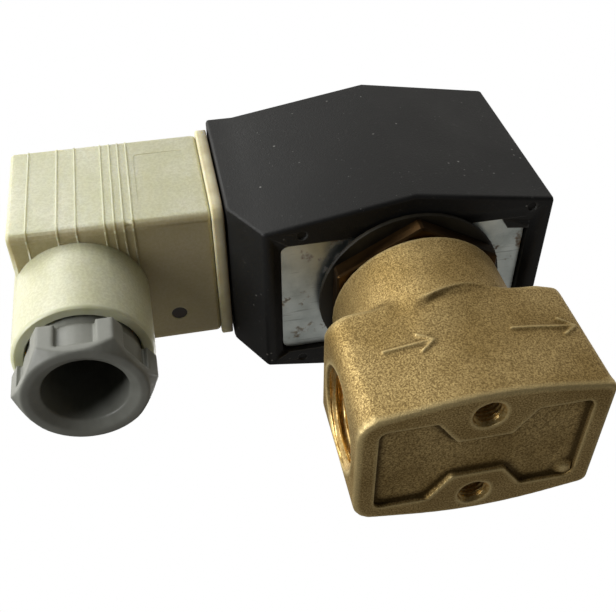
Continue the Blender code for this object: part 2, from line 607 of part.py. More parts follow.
def make_coil_shell(parent, materials):
    shell = prism("coil_shell", coil_outline(), COIL_BOTTOM, COIL_TOP, parent, materials["black_polyamide"])
    cutters = shell_cutters(parent)
    cut(shell, cutters[1])
    bevel(shell, 0.6 * MM, 2, 20)
    for cutter in (cutters[0], *cutters[2:]):
        cut(shell, cutter)
    smooth(shell)
    middle = (COIL_BOTTOM + COIL_TOP) / 2
    label = softened(rectangle(-LABEL_LENGTH / 2, LABEL_LENGTH / 2, middle - LABEL_HEIGHT / 2,
                               middle + LABEL_HEIGHT / 2), 0.8 * MM)
    face = COIL_FRONT_REACH - LABEL_RECESS + GAP
    prism("nameplate", label, face, face + LABEL_THICK, parent, materials["silver_label"], along="X")


def make_yoke(parent, materials):
    half = YOKE_HALF_WIDTH
    plate = prism("yoke_plate", softened(rectangle(-YOKE_BACK, YOKE_FRONT, -half, half), OPENING_RADIUS),
                  YOKE_PLATE_BOTTOM, YOKE_PLATE_TOP, parent, materials["zinc_plate"])
    cut(plate, turned("cut_yoke_plate", rod_profile(TUBE_CLEAR_RADIUS, YOKE_PLATE_BOTTOM - 1.0 * MM,
                                                    YOKE_PLATE_TOP + 1.0 * MM), parent, sides=36))
    low = YOKE_PLATE_TOP + GAP
    bend = YOKE_TOP - YOKE_THICK
    leg = [(-YOKE_BACK, low), (-YOKE_BACK + YOKE_THICK, low), (-YOKE_BACK + YOKE_THICK, bend),
           (YOKE_FRONT - YOKE_THICK, bend), (YOKE_FRONT - YOKE_THICK, low), (YOKE_FRONT, low),
           (YOKE_FRONT, YOKE_TOP), (-YOKE_BACK, YOKE_TOP)]
    width = half - OPENING_RADIUS
    frame = prism("yoke_frame", leg, -width, width, parent, materials["zinc_plate"], along="Y")
    cut(frame, turned("cut_yoke_frame", rod_profile(TUBE_CLEAR_RADIUS, YOKE_TOP - YOKE_THICK - 1.0 * MM,
                                                    YOKE_TOP + 1.0 * MM), parent, sides=36))
    smooth(plate)
    smooth(frame)


def make_bobbin(parent, materials):
    wall = TUBE_CLEAR_RADIUS + BOBBIN_WALL
    flange = BOBBIN_FLANGE_THICK
    profile = [(TUBE_CLEAR_RADIUS, BOBBIN_BOTTOM), (BOBBIN_FLANGE_RADIUS, BOBBIN_BOTTOM),
               (BOBBIN_FLANGE_RADIUS, BOBBIN_BOTTOM + flange), (wall, BOBBIN_BOTTOM + flange),
               (wall, BOBBIN_TOP - flange), (BOBBIN_FLANGE_RADIUS, BOBBIN_TOP - flange),
               (BOBBIN_FLANGE_RADIUS, BOBBIN_TOP), (TUBE_CLEAR_RADIUS, BOBBIN_TOP)]
    smooth(turned("bobbin", profile, parent, materials["bobbin_white"], sides=40))
    inner = wall + GAP
    coil = ring_profile(inner, inner + WINDING_THICK, BOBBIN_BOTTOM + flange + GAP, BOBBIN_TOP - flange - GAP)
    smooth(turned("winding", coil, parent, materials["copper"], sides=40))


BLADE_SIDES = {"line_blade": -1, "neutral_blade": 1, "earth_blade": 0}


def blade_section(side, grow=0.0):
    """The (y, z) rectangle of one blade: the two at the sides stand upright, the earth blade lies flat."""
    across = BLADE_THICK / 2 + grow
    along = BLADE_WIDTH / 2 + grow
    y = side * BLADE_SPACING / 2
    if side:
        return rectangle(y - across, y + across, PLUG_CENTRE - along, PLUG_CENTRE + along)
    return rectangle(-along, along, EARTH_HEIGHT - across, EARTH_HEIGHT + across)


def make_terminal_base(parent, materials):
    half = TERMINAL_BASE_HALF
    outline = softened(rectangle(-half, half, PLUG_CENTRE - half, PLUG_CENTRE + half), 0.8 * MM, 2)
    inner = PLUG_FACE + TERMINAL_BASE_DEPTH
    base = prism("terminal_base", outline, PLUG_FACE + 0.1 * MM, inner, parent, materials["black_polyamide"],
                 along="X")
    for name, side in BLADE_SIDES.items():
        slot = prism("cut_" + name, blade_section(side, GAP), PLUG_FACE - 1.0 * MM, BLADE_ROOT + GAP,
                     parent, along="X")
        cut(base, slot)
        tip = PLUG_FACE - BLADE_PROUD
        blade = prism(name, blade_section(side), tip, BLADE_ROOT, parent, materials["soft_iron"], along="X")
        bevel(blade, 0.15 * MM)
    cut(base, turned("cut_insert", rod_profile(INSERT_RADIUS + GAP, PLUG_FACE - 1.0 * MM, BLADE_ROOT + GAP),
                     parent, sides=SMALL_ROUND, centre=(0.0, PLUG_CENTRE), axis="X"))
    smooth(base)
    insert = ring_profile(SCREW_RADIUS + GAP, INSERT_RADIUS, PLUG_FACE + 0.1 * MM, BLADE_ROOT)
    smooth(turned("screw_insert", insert, parent, materials["turned_brass"], sides=20,
                  centre=(0.0, PLUG_CENTRE), axis="X"))


# --- plug connector ------------------------------------------------------------------------------
def plug_section(grow=0.0):
    return rectangle(-PLUG_HALF_WIDTH - grow, PLUG_HALF_WIDTH + grow, PLUG_BOTTOM - grow, PLUG_TOP + grow)


def make_housing(parent, gland, materials):
    housing = prism("connector_housing", softened(plug_section(), PLUG_EDGE, 4), -PLUG_REACH, HOUSING_FACE,
                    parent, materials["clear_polyamide"], along="X")
    bevel(housing, 0.8 * MM, 2, 50)
    edge = 0.5 * MM
    boss_top = PLUG_CENTRE - 4.0 * MM
    boss = [(0.0, BOSS_BOTTOM), (BOSS_RADIUS - edge, BOSS_BOTTOM), (BOSS_RADIUS, BOSS_BOTTOM + edge),
            (BOSS_RADIUS, boss_top), (0.0, boss_top)]
    join(housing, turned("guide_boss", boss, gland))
    inside = softened(plug_section(-PLUG_WALL), 1.0 * MM, 3)
    cut(housing, prism("cut_plug_cavity", inside, -PLUG_REACH + PLUG_WALL, HOUSING_FACE + 2.0 * MM, parent,
                       along="X"))
    mouth = BOSS_BORE + 0.3 * MM
    bore_top = PLUG_BOTTOM + PLUG_WALL + 1.0 * MM
    bore = [(0.0, BOSS_BOTTOM - 1.0 * MM), (mouth, BOSS_BOTTOM - 1.0 * MM), (mouth, BOSS_BOTTOM),
            (BOSS_BORE, BOSS_BOTTOM + edge), (BOSS_BORE, bore_top), (0.0, bore_top)]
    cut(housing, turned("cut_gland_bore", bore, gland, sides=40))
    head_hole = turned("cut_head_hole", rod_profile(SCREW_HEAD_RADIUS + GAP, -PLUG_REACH - 1.0 * MM,
                                                    -PLUG_REACH + PLUG_WALL + 1.0 * MM),
                       parent, sides=SMALL_ROUND, centre=(0.0, PLUG_CENTRE), axis="X")
    cut(housing, head_hole)
    smooth(housing)


def make_plug_gasket(parent, materials):
    gasket = prism("connector_gasket", softened(plug_section(PLUG_LIP), PLUG_EDGE + PLUG_LIP, 4),
                   HOUSING_FACE + GAP, PLUG_FACE - GAP, parent, materials["clear_silicone"], along="X")
    wide = TERMINAL_BASE_HALF
    high = TERMINAL_BASE_HALF - 1.0 * MM
    hole = softened(rectangle(-wide, wide, PLUG_CENTRE - high, PLUG_CENTRE + high), 1.0 * MM, 2)
    cut(gasket, prism("cut_plug_gasket", hole, HOUSING_FACE - 1.0 * MM, PLUG_FACE + 1.0 * MM, parent,
                      along="X"))
    smooth(gasket)


def contact_section(side, grow):
    return blade_section(side, GAP + grow)


def make_terminal_block(parent, materials):
    """The insulating block, its three socket contacts and their wire screws."""
    half = PLUG_HALF_WIDTH - PLUG_WALL - GAP
    inset = 1.3 * MM
    high = PLUG_TOP - PLUG_WALL - GAP
    low = PLUG_BOTTOM + PLUG_WALL + GAP
    face = HOUSING_FACE - 0.2 * MM
    back = face - BLOCK_OF_TERMINALS_DEPTH
    block = prism("terminal_block", softened(rectangle(-half, half, low, high), inset, 3), back, face, parent,
                  materials["terminal_black"], along="X")
    contact_back = PLUG_FACE - BLADE_PROUD - 1.2 * MM
    screw_seat = contact_back - GAP
    for name, side in BLADE_SIDES.items():
        contact = name.replace("blade", "contact")
        cut(block, prism("cut_" + contact, contact_section(side, CONTACT_WALL + GAP), contact_back - GAP,
                         face + 1.0 * MM, parent, along="X"))
        sleeve = prism(contact, contact_section(side, CONTACT_WALL), contact_back, face - 0.3 * MM,
                       parent, materials["turned_brass"], along="X")
        cut(sleeve, prism("cut_slot_" + contact, contact_section(side, 0.0), contact_back + CONTACT_WALL,
                          face + 1.0 * MM, parent, along="X"))
        place = (side * BLADE_SPACING / 2, PLUG_CENTRE if side else EARTH_HEIGHT)
        screw_name = name.replace("blade", "screw")
        cut(block, turned("cut_" + screw_name, rod_profile(SCREW_RADIUS + GAP + 0.5 * MM, back - 1.0 * MM,
                                                           screw_seat + 0.1 * MM),
                          parent, sides=16, centre=place, axis="X"))
        make_slotted_screw(screw_name, back - 0.6 * MM, screw_seat - 0.2 * MM, place, parent, materials)
    screw_way = rod_profile(SCREW_RADIUS + GAP, back - 1.0 * MM, face + 1.0 * MM)
    cut(block, turned("cut_screw_way", screw_way, parent, sides=20, centre=(0.0, PLUG_CENTRE), axis="X"))
    smooth(block)


def make_slotted_screw(name, head_end, tip, place, parent, materials):
    radius = SCREW_RADIUS + 0.5 * MM
    screw = turned(name, rod_profile(radius, head_end, tip, 0.2 * MM), parent, materials["zinc_plate"],
                   sides=16, centre=place, axis="X")
    y, z = place
    slot = rectangle(y - radius - 1.0 * MM, y + radius + 1.0 * MM, z - 0.3 * MM, z + 0.3 * MM)
    cut(screw, prism("cut_slot_" + name, slot, head_end - 1.0 * MM, head_end + 0.8 * MM, parent, along="X"))
    smooth(screw)


def make_fixing_screw(parent, materials):
    """Long screw through the connector into the coil's insert, with its sealing ring."""
    head = -PLUG_REACH + 0.2 * MM
    neck = head + SCREW_HEAD_THICK
    profile = [(0.0, head), (SCREW_HEAD_RADIUS - 0.3 * MM, head), (SCREW_HEAD_RADIUS, head + 0.3 * MM),
               (SCREW_HEAD_RADIUS, neck), (SCREW_RADIUS, neck), (SCREW_RADIUS, BLADE_ROOT - 1.0 * MM),
               (0.0, BLADE_ROOT - 1.0 * MM)]
    place = (0.0, PLUG_CENTRE)
    screw = turned("fixing_screw", profile, parent, materials["zinc_plate"], sides=20, centre=place, axis="X")
    slot = rectangle(-SCREW_HEAD_RADIUS - 1.0 * MM, SCREW_HEAD_RADIUS + 1.0 * MM, PLUG_CENTRE - 0.4 * MM,
                     PLUG_CENTRE + 0.4 * MM)
    cut(screw, prism("cut_screw_slot", slot, head - 1.0 * MM, head + 1.2 * MM, parent, along="X"))
    smooth(screw)
    seal = ring_profile(SCREW_RADIUS + GAP, SCREW_HEAD_RADIUS + 1.4 * MM, neck + GAP,
                        neck + GAP + 1.2 * MM, 0.2 * MM)
    smooth(turned("screw_seal", seal, parent, materials["black_rubber"], sides=20, centre=place, axis="X"))


def make_lamp(parent, materials):
    """A small board that stands on the terminal block, with the indicator lamp on it."""
    block_back = HOUSING_FACE - 0.2 * MM - BLOCK_OF_TERMINALS_DEPTH
    board_x = block_back - GAP
    top = PLUG_TOP - PLUG_WALL - 1.2 * MM
    prism("lamp_board", rectangle(-8.0 * MM, 8.0 * MM, top - 6.0 * MM, top), board_x - 1.2 * MM, board_x,
          parent, materials["board_green"], along="X")
    lamp_x = board_x - 1.2 * MM - GAP
    profile = [(0.0, lamp_x - 3.6 * MM), (0.8 * MM, lamp_x - 3.4 * MM), (1.4 * MM, lamp_x - 2.6 * MM),
               (1.5 * MM, lamp_x - 0.8 * MM), (1.8 * MM, lamp_x - 0.8 * MM), (1.8 * MM, lamp_x),
               (0.0, lamp_x)]
    smooth(turned("indicator_lamp", profile, parent, materials["lamp_red"], sides=16,
                  centre=(0.0, top - 3.0 * MM), axis="X"), 50)


# --- cable gland ---------------------------------------------------------------------------------
def make_grommet(parent, materials):
    profile = ring_profile(GROMMET_BORE, BOSS_BORE - GAP, GROMMET_BOTTOM, GROMMET_TOP, 0.5 * MM)
    smooth(turned("gland_grommet", profile, parent, materials["black_rubber"], sides=36))


def make_gland_washer(parent, materials):
    profile = ring_profile(NUT_HOLE_RADIUS - 0.6 * MM, BOSS_BORE - GAP, WASHER_BOTTOM,
                           WASHER_BOTTOM + GLAND_WASHER_THICK)
    smooth(turned("gland_washer", profile, parent, materials["grey_polyamide"], sides=36))


def make_gland_nut(parent, materials):
    """Hexagonal nut: round waist on each flat, full lugs at the corners, and a threaded spigot."""
    head = prism("gland_nut", hexagon(NUT_ACROSS_FLATS), NUT_BOTTOM, NUT_HEAD_TOP, parent,
                 materials["grey_polyamide"])
    outer = NUT_ACROSS_FLATS / math.sqrt(3)
    waist = NUT_ACROSS_FLATS / 2 - 0.5 * MM
    for index in range(6):
        angle = math.tau * (index + 0.5) / 6
        across = NUT_ACROSS_FLATS / 6.5
        reach = outer + 1.0 * MM
        slot = [(waist * math.cos(turn_by), waist * math.sin(turn_by))
                for turn_by in [angle + (step - 3) / 3 * math.asin(across / waist) for step in range(7)]]
        tip = Vector((math.cos(angle), math.sin(angle))) * reach
        side = Vector((-math.sin(angle), math.cos(angle))) * across
        slot += [tuple(tip + side), tuple(tip - side)]
        cut(head, prism(f"cut_flat_{index}", slot, NUT_BOTTOM + 1.9 * MM, NUT_HEAD_TOP + 1.0 * MM, parent))
    over = 2.0 * MM
    chamfer = [(outer - 1.9 * MM, NUT_BOTTOM - 0.1 * MM), (outer + over, NUT_BOTTOM - 0.1 * MM),
               (outer + over, NUT_BOTTOM + 2.4 * MM + over), (outer + 0.2 * MM, NUT_BOTTOM + 2.4 * MM)]
    cut(head, turned("cut_nut_chamfer", chamfer, parent, sides=ROUND))
    spigot = rod_profile(BOSS_BORE - GAP, NUT_HEAD_TOP - 1.0 * MM, NUT_SPIGOT_TOP, 0.3 * MM)
    join(head, turned("guide_spigot", spigot, parent, sides=40))
    mouth = NUT_MOUTH_RADIUS - NUT_HOLE_RADIUS
    hole = [(0.0, NUT_BOTTOM - over), (NUT_MOUTH_RADIUS, NUT_BOTTOM - over), (NUT_MOUTH_RADIUS, NUT_BOTTOM),
            (NUT_HOLE_RADIUS, NUT_BOTTOM + 0.7 * mouth), (NUT_HOLE_RADIUS, NUT_SPIGOT_TOP + over),
            (0.0, NUT_SPIGOT_TOP + over)]
    cut(head, turned("cut_nut_hole", hole, parent, sides=40))
    smooth(head)


def main():
    clear_scene()
    materials = make_materials()
    valve = frame_empty("valve_axis", AXIS_X)
    plunger = frame_empty("plunger_axis", 0.0, parent=valve)
    coil = frame_empty("coil_axis", 0.0, parent=valve)
    connector = frame_empty("connector_slide", 0.0, parent=coil)
    gland = frame_empty("gland_axis", -GLAND_OFFSET, parent=connector)
    make_valve_body(valve, materials)
    make_o_ring(valve, materials)
    make_bonnet(valve, materials)
    make_guide_tube(valve, materials)
    make_fixed_core(valve, materials)
    make_spring(valve, materials)
    make_coil_gasket(valve, materials)
    make_top_fixing(valve, materials)
    make_plunger(plunger, materials)
    make_coil_shell(coil, materials)
    make_yoke(coil, materials)
    make_bobbin(coil, materials)
    make_terminal_base(coil, materials)
    make_housing(connector, gland, materials)
    make_plug_gasket(connector, materials)
    make_terminal_block(connector, materials)
    make_fixing_screw(connector, materials)
    make_lamp(connector, materials)
    make_grommet(gland, materials)
    make_gland_washer(gland, materials)
    make_gland_nut(gland, materials)


main()
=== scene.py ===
# %% [markdown]
# # A small solenoid valve, from forging to plug
#
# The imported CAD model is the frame: every piece already has its true size and place. This lesson gives
# each piece the surface that it has on a workbench. Pieces whose shape is right keep their CAD mesh and
# get a finish. Pieces that need a softer or richer shape are built again here, inside the same space.

# %% Load the frame
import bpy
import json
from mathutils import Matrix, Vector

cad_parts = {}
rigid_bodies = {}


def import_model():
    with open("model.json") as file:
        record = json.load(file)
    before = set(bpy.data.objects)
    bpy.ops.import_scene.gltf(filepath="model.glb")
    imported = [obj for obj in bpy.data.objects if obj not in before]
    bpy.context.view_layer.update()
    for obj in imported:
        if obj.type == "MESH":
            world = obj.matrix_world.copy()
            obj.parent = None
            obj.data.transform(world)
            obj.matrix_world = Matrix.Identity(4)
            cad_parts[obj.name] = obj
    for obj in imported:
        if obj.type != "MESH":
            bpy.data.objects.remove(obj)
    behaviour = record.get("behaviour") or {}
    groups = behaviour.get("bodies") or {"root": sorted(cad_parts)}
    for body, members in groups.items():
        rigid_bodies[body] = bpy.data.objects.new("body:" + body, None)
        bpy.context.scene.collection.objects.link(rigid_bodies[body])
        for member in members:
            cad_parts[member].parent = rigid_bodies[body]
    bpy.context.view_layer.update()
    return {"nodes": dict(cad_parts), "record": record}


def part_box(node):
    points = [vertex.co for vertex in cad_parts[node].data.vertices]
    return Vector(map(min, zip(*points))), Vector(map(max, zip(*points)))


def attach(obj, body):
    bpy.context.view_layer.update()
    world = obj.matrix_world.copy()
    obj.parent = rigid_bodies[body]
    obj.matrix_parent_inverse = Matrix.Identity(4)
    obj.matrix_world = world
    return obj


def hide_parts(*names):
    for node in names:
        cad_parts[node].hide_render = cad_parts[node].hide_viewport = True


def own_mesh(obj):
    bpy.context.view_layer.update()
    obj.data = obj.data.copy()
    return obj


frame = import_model()

# %% Tools
import json
import math

import bmesh
import bpy
import numpy as np
from mathutils import Matrix, Vector

MM = 0.001
NODES = frame["nodes"]
print(len(NODES), "nodes in the frame")

# %% [markdown]
# ## Reading the frame
#
# A designer places new pieces from the old ones. The guide tube gives the valve's upright axis, the gland
# nut gives the cable's axis, and the valve body gives the port faces.

# %% Places taken from the CAD


def middle(node):
    low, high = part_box(node)
    return (Vector(low) + Vector(high)) / 2


BODY_LOW, BODY_HIGH = (Vector(corner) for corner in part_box("valve_body"))
AXIS = middle("guide_tube").x
GLAND_X = middle("gland_nut").x
HALF_BLOCK = (BODY_HIGH.x - BODY_LOW.x) / 2
BLOCK_TOP = 22.9 * MM                    # where the neck starts
BLOCK_HALF_DEPTH = 12.2 * MM             # at the upright corners, where the long sides end
PORT_HEIGHT = 11.8 * MM
PORT_DEPTH = 10.0 * MM
MOUNT_SPACING = 19.2 * MM
print("valve axis x", round(AXIS * 1000, 2), "gland axis x", round(GLAND_X * 1000, 2))

# %% [markdown]
# ## Camera
#
# The valve is seen from below and from its inlet side, close enough for strong perspective. The lens is a
# short telephoto on a 36 mm wide sensor. The camera sits under the plane of the base. A camera can be aimed
# by a constraint, but three directions (right, down, ahead) give its turn exactly, roll included.

# %% Camera
CAMERA_FROM_AXIS = Vector((-42.91, -108.98, -75.67)) * MM
CAMERA_RIGHT = Vector((0.9794, -0.0007, -0.2017))
CAMERA_DOWN = Vector((-0.1373, 0.7302, -0.6693))
CAMERA_AHEAD = Vector((0.1478, 0.6832, 0.7151))
LENS_MM = 51.31
SENSOR_MM = 36.0
NEAR_CLIP = 0.005                        # metres, so that nothing close is cut away


def make_camera():
    data = bpy.data.cameras.new("camera")
    data.lens = LENS_MM
    data.sensor_width = SENSOR_MM
    data.clip_start = NEAR_CLIP
    camera = bpy.data.objects.new("camera", data)
    turn = Matrix((CAMERA_RIGHT, -CAMERA_DOWN, -CAMERA_AHEAD)).transposed()
    place = Vector((AXIS, 0.0, 0.0)) + CAMERA_FROM_AXIS
    camera.matrix_world = Matrix.Translation(place) @ turn.to_4x4()
    bpy.context.collection.objects.link(camera)
    bpy.context.scene.camera = camera
    return camera


CAMERA = make_camera()
print("camera at (mm)", [round(v * 1000, 1) for v in CAMERA.matrix_world.translation])

# %% [markdown]
# ## Colours and nodes
#
# Hex codes are how a maker notes a colour, but a shader adds up light, so it needs linear values: one
# function turns one into the other. Nodes could each be made by three or four lines; one small function that
# takes the kind, the settings and the links keeps every material readable.

# %% Colours


def srgb(code):
    """Linear colour of an sRGB hex code."""
    parts = [int(code[i:i + 2], 16) / 255 for i in (1, 3, 5)]
    return tuple(p / 12.92 if p <= 0.04045 else ((p + 0.055) / 1.055) ** 2.4 for p in parts) + (1.0,)


print("the middle grey #808080 reflects", round(srgb("#808080")[0] * 100), "percent of the light")

# %% One function for every node


def add(tree, kind, sets=None, links=None):
    """Add a node. sets are its settings or input values, links are {input: output socket}."""
    made = tree.nodes.new(kind)
    for name, value in (sets or {}).items():
        if isinstance(name, str) and hasattr(made, name):
            setattr(made, name, value)
        else:
            made.inputs[name].default_value = value
    for name, socket in (links or {}).items():
        tree.links.new(socket, made.inputs[name])
    return made


# %% [markdown]
# ## The room
#
# Metal shows what surrounds it, so lamps alone leave brass black between the highlights. The room could be a
# picture of a studio, but a few soft glows in a dim room do the same with numbers that can be read. Each glow
# is aimed where one group of faces mirrors it towards the camera.

# %% World
ROOM_GLOWS = (                       # direction, cosine where it starts, cosine where it is full, strength
    ((0.54, -0.26, 0.80), 0.10, 0.95, 0.66),     # very wide, high on the outlet side: the long front faces
    ((-0.72, 0.10, 0.68), 0.45, 0.95, 0.28),     # wide and weak, high on the inlet side: the end faces
    ((-0.64, 0.12, 0.75), 0.84, 0.95, 1.25),     # small and bright inside it: rounds between front and inlet
    ((0.15, 0.68, -0.72), 0.35, 0.95, 0.29),     # low and behind: the faces that look down
)
ROOM_DARK = 0.02                     # the room's own dim light between the glows


def make_world():
    """The camera sees white paper; the pieces are lit by a dim room with its glows."""
    world = bpy.data.worlds.new("pale_room")
    bpy.context.scene.world = world
    world.use_nodes = True
    tree = world.node_tree
    tree.nodes.clear()
    place = add(tree, "ShaderNodeTexCoord").outputs["Generated"]
    total = None
    for direction, start, full, strength in ROOM_GLOWS:
        towards = Vector(direction).normalized()
        facing = add(tree, "ShaderNodeVectorMath", {"operation": "DOT_PRODUCT", 1: towards}, {0: place})
        glow = add(tree, "ShaderNodeMapRange", {"interpolation_type": "SMOOTHSTEP", "From Min": start,
                                                "From Max": full, "To Max": strength},
                   {"Value": facing.outputs["Value"]})
        sum_so_far = add(tree, "ShaderNodeMath", {"operation": "ADD", 1: ROOM_DARK},
                         {0: glow.outputs["Result"]})
        if total:
            tree.links.new(total, sum_so_far.inputs[1])
        total = sum_so_far.outputs[0]
    room = add(tree, "ShaderNodeBackground", {"Color": srgb("#f7f4ee")}, {"Strength": total})
    paper = add(tree, "ShaderNodeBackground", {"Color": srgb("#ffffff"), "Strength": 1.0})
    path = add(tree, "ShaderNodeLightPath")
    both = add(tree, "ShaderNodeMixShader", None, {0: path.outputs["Is Camera Ray"], 1: room.outputs[0],
                                                   2: paper.outputs[0]})
    add(tree, "ShaderNodeOutputWorld", None, {"Surface": both.outputs[0]})


make_world()
bpy.context.scene.view_settings.view_transform = "Standard"
print("room with", len(ROOM_GLOWS), "glows")

# %% [markdown]
# ## Lamps
#
# A small lamp gives hard shadows and pin-point highlights, so each lamp here is an area light about a third
# of a metre wide. The key lamp is high in front, on the inlet side. A stronger low lamp on the same side
# grazes the brass neck and its corner, and a lamp behind lights the sides that face away.

# %% Lamps
AIM = Vector((AXIS - 15 * MM, 0.0, 40 * MM))     # the middle of the valve with its plug


def soft_lamp(name, towards, distance, size, power, colour="#ffffff"):
    """Square area light, aimed at the valve. Distance and size are in metres, power in watts."""
    data = bpy.data.lights.new(name, "AREA")
    data.size = size
    data.energy = power
    data.color = srgb(colour)[:3]
    lamp = bpy.data.objects.new(name, data)
    direction = Vector(towards).normalized()
    lamp.location = AIM + direction * distance
    lamp.rotation_mode = "QUATERNION"
    lamp.rotation_quaternion = direction.to_track_quat("Z", "Y")
    bpy.context.collection.objects.link(lamp)
    print(name, "from", [round(v, 2) for v in lamp.location], "m,", power, "W")


soft_lamp("key_lamp", (-0.45, -0.62, 0.64), 0.50, 0.26, 1.1, "#fcfdfa")
soft_lamp("low_side_lamp", (-0.88, -0.44, -0.10), 0.50, 0.30, 2.3)
soft_lamp("back_lamp", (0.6, 0.8, 0.7), 0.60, 0.40, 2.0)

# %% [markdown]
# ## Floor
#
# The floor lies just under the base. The camera looks up through it, so its underside is clear and it neither
# shades nor mirrors the valve; from above it is a plain pale floor. One quad is enough for a flat floor.

# %% Floor
FLOOR_DROP = 0.2 * MM                    # a hair under the base, so the two faces don't fight
FLOOR_SIZE = 1.6                         # metres


def make_floor():
    mesh = bpy.data.meshes.new("floor")
    half = FLOOR_SIZE / 2
    corners = [(-half, -half, -FLOOR_DROP), (half, -half, -FLOOR_DROP), (half, half, -FLOOR_DROP),
               (-half, half, -FLOOR_DROP)]
    mesh.from_pydata(corners, [], [(0, 1, 2, 3)])
    floor = bpy.data.objects.new("floor", mesh)
    bpy.context.collection.objects.link(floor)
    material = bpy.data.materials.new("matt_white_paper")
    material.use_nodes = True
    tree = material.node_tree
    tree.nodes.clear()
    paper = add(tree, "ShaderNodeBsdfDiffuse", {"Color": srgb("#f2f1ee")})
    clear = add(tree, "ShaderNodeBsdfTransparent")
    side = add(tree, "ShaderNodeNewGeometry")
    both = add(tree, "ShaderNodeMixShader", None, {0: side.outputs["Backfacing"], 1: paper.outputs[0],
                                                   2: clear.outputs[0]})
    add(tree, "ShaderNodeOutputMaterial", None, {"Surface": both.outputs[0]})
    mesh.materials.append(material)
    floor.visible_shadow = False
    floor.visible_diffuse = False
    floor.visible_glossy = False
    floor.visible_transmission = False
    print("floor:", FLOOR_SIZE, "m square,", round(FLOOR_DROP * 1000, 2), "mm under the base")


make_floor()

# %% [markdown]
# ## How the finishes are made
#
# Every finish starts from one shader with typical values for the real material. Patterns read the object's
# own coordinates, in metres, so their scale is one over the real grain size and they ride along when a
# body moves. Image textures would show more detail, but they need flat cut-outs of every face; patterns in
# space fit any shape. Where the real grain is finer than can be seen from here, the pattern is drawn coarser
# and a comment says so.

# %% Finish helpers
FINISHES = {}                            # material slot: material


def finish(name, colour, roughness, metallic=0.0, ior=None):
    """A new material; returns it with its tree, its shader and the object coordinates."""
    material = bpy.data.materials.new(name)
    material.use_nodes = True
    tree = material.node_tree
    shader = tree.nodes["Principled BSDF"]
    shader.inputs["Base Color"].default_value = srgb(colour)
    shader.inputs["Roughness"].default_value = roughness
    shader.inputs["Metallic"].default_value = metallic
    if ior:
        shader.inputs["IOR"].default_value = ior
    place = add(tree, "ShaderNodeTexCoord").outputs["Object"]
    return material, tree, shader, place


def grain_size(millimetres):
    """Texture scale for a grain of that size."""
    return 1.0 / (millimetres * MM)


print("a grain of 0.5 mm takes texture scale", round(grain_size(0.5)))


def ramp(tree, value, low, high, to_low=0.0, to_high=1.0):
    """Map a value from low..high to to_low..to_high, clamped."""
    return add(tree, "ShaderNodeMapRange", {"From Min": low, "From Max": high, "To Min": to_low,
                                            "To Max": to_high}, {"Value": value}).outputs["Result"]


def noise(tree, place, size_mm, detail=2.0, rough=0.5, stretch=None):
    """Cloudy pattern with features of that size. stretch scales the axes first."""
    if stretch:
        place = add(tree, "ShaderNodeMapping", {"Scale": stretch}, {"Vector": place}).outputs["Vector"]
    sets = {"Scale": grain_size(size_mm), "Detail": detail, "Roughness": rough}
    return add(tree, "ShaderNodeTexNoise", sets, {"Vector": place}).outputs["Fac"]


def blend_colour(tree, factor, first, second):
    """Mix two colours, each a hex code or a socket, by a factor socket."""
    mix = add(tree, "ShaderNodeMix", {"data_type": "RGBA"}, {0: factor})
    for index, colour in ((6, first), (7, second)):
        if isinstance(colour, str):
            mix.inputs[index].default_value = srgb(colour)
        else:
            tree.links.new(colour, mix.inputs[index])
    return mix.outputs[2]


def relief(tree, shader, height, depth_mm, strength=1.0, under=None):
    """Bump of that depth. under is an earlier relief's normal that this one adds to."""
    links = {"Height": height}
    if under:
        links["Normal"] = under
    bump = add(tree, "ShaderNodeBump", {"Strength": strength, "Distance": depth_mm * MM}, links)
    tree.links.new(bump.outputs["Normal"], shader.inputs["Normal"])
    return bump.outputs["Normal"]


def keep(slot, material):
    """Keep a finished material under its slot's name."""
    FINISHES[slot] = material
    print("slot", slot, "wears", material.name, "with", len(material.node_tree.nodes), "nodes")


# %% [markdown]
# ## Forged brass
#
# The body is hot-forged brass, blasted clean with fine grit. The grit leaves a sandy surface that scatters
# light. The hollows are painted a darker brown, partly a real brown film and partly painted shade, and the
# edges are painted brighter, partly worn where hands and tools reach and partly a painted highlight.
# Blender's own cavity and bevel tools depend on the size of the mesh's faces or cost many samples, so the
# mesh itself carries the depth of its hollows in an attribute, and the material only reads it.

# %% Forged brass
GRIT_MM = 0.28                           # real pits are about 0.1 mm, too fine to show from here


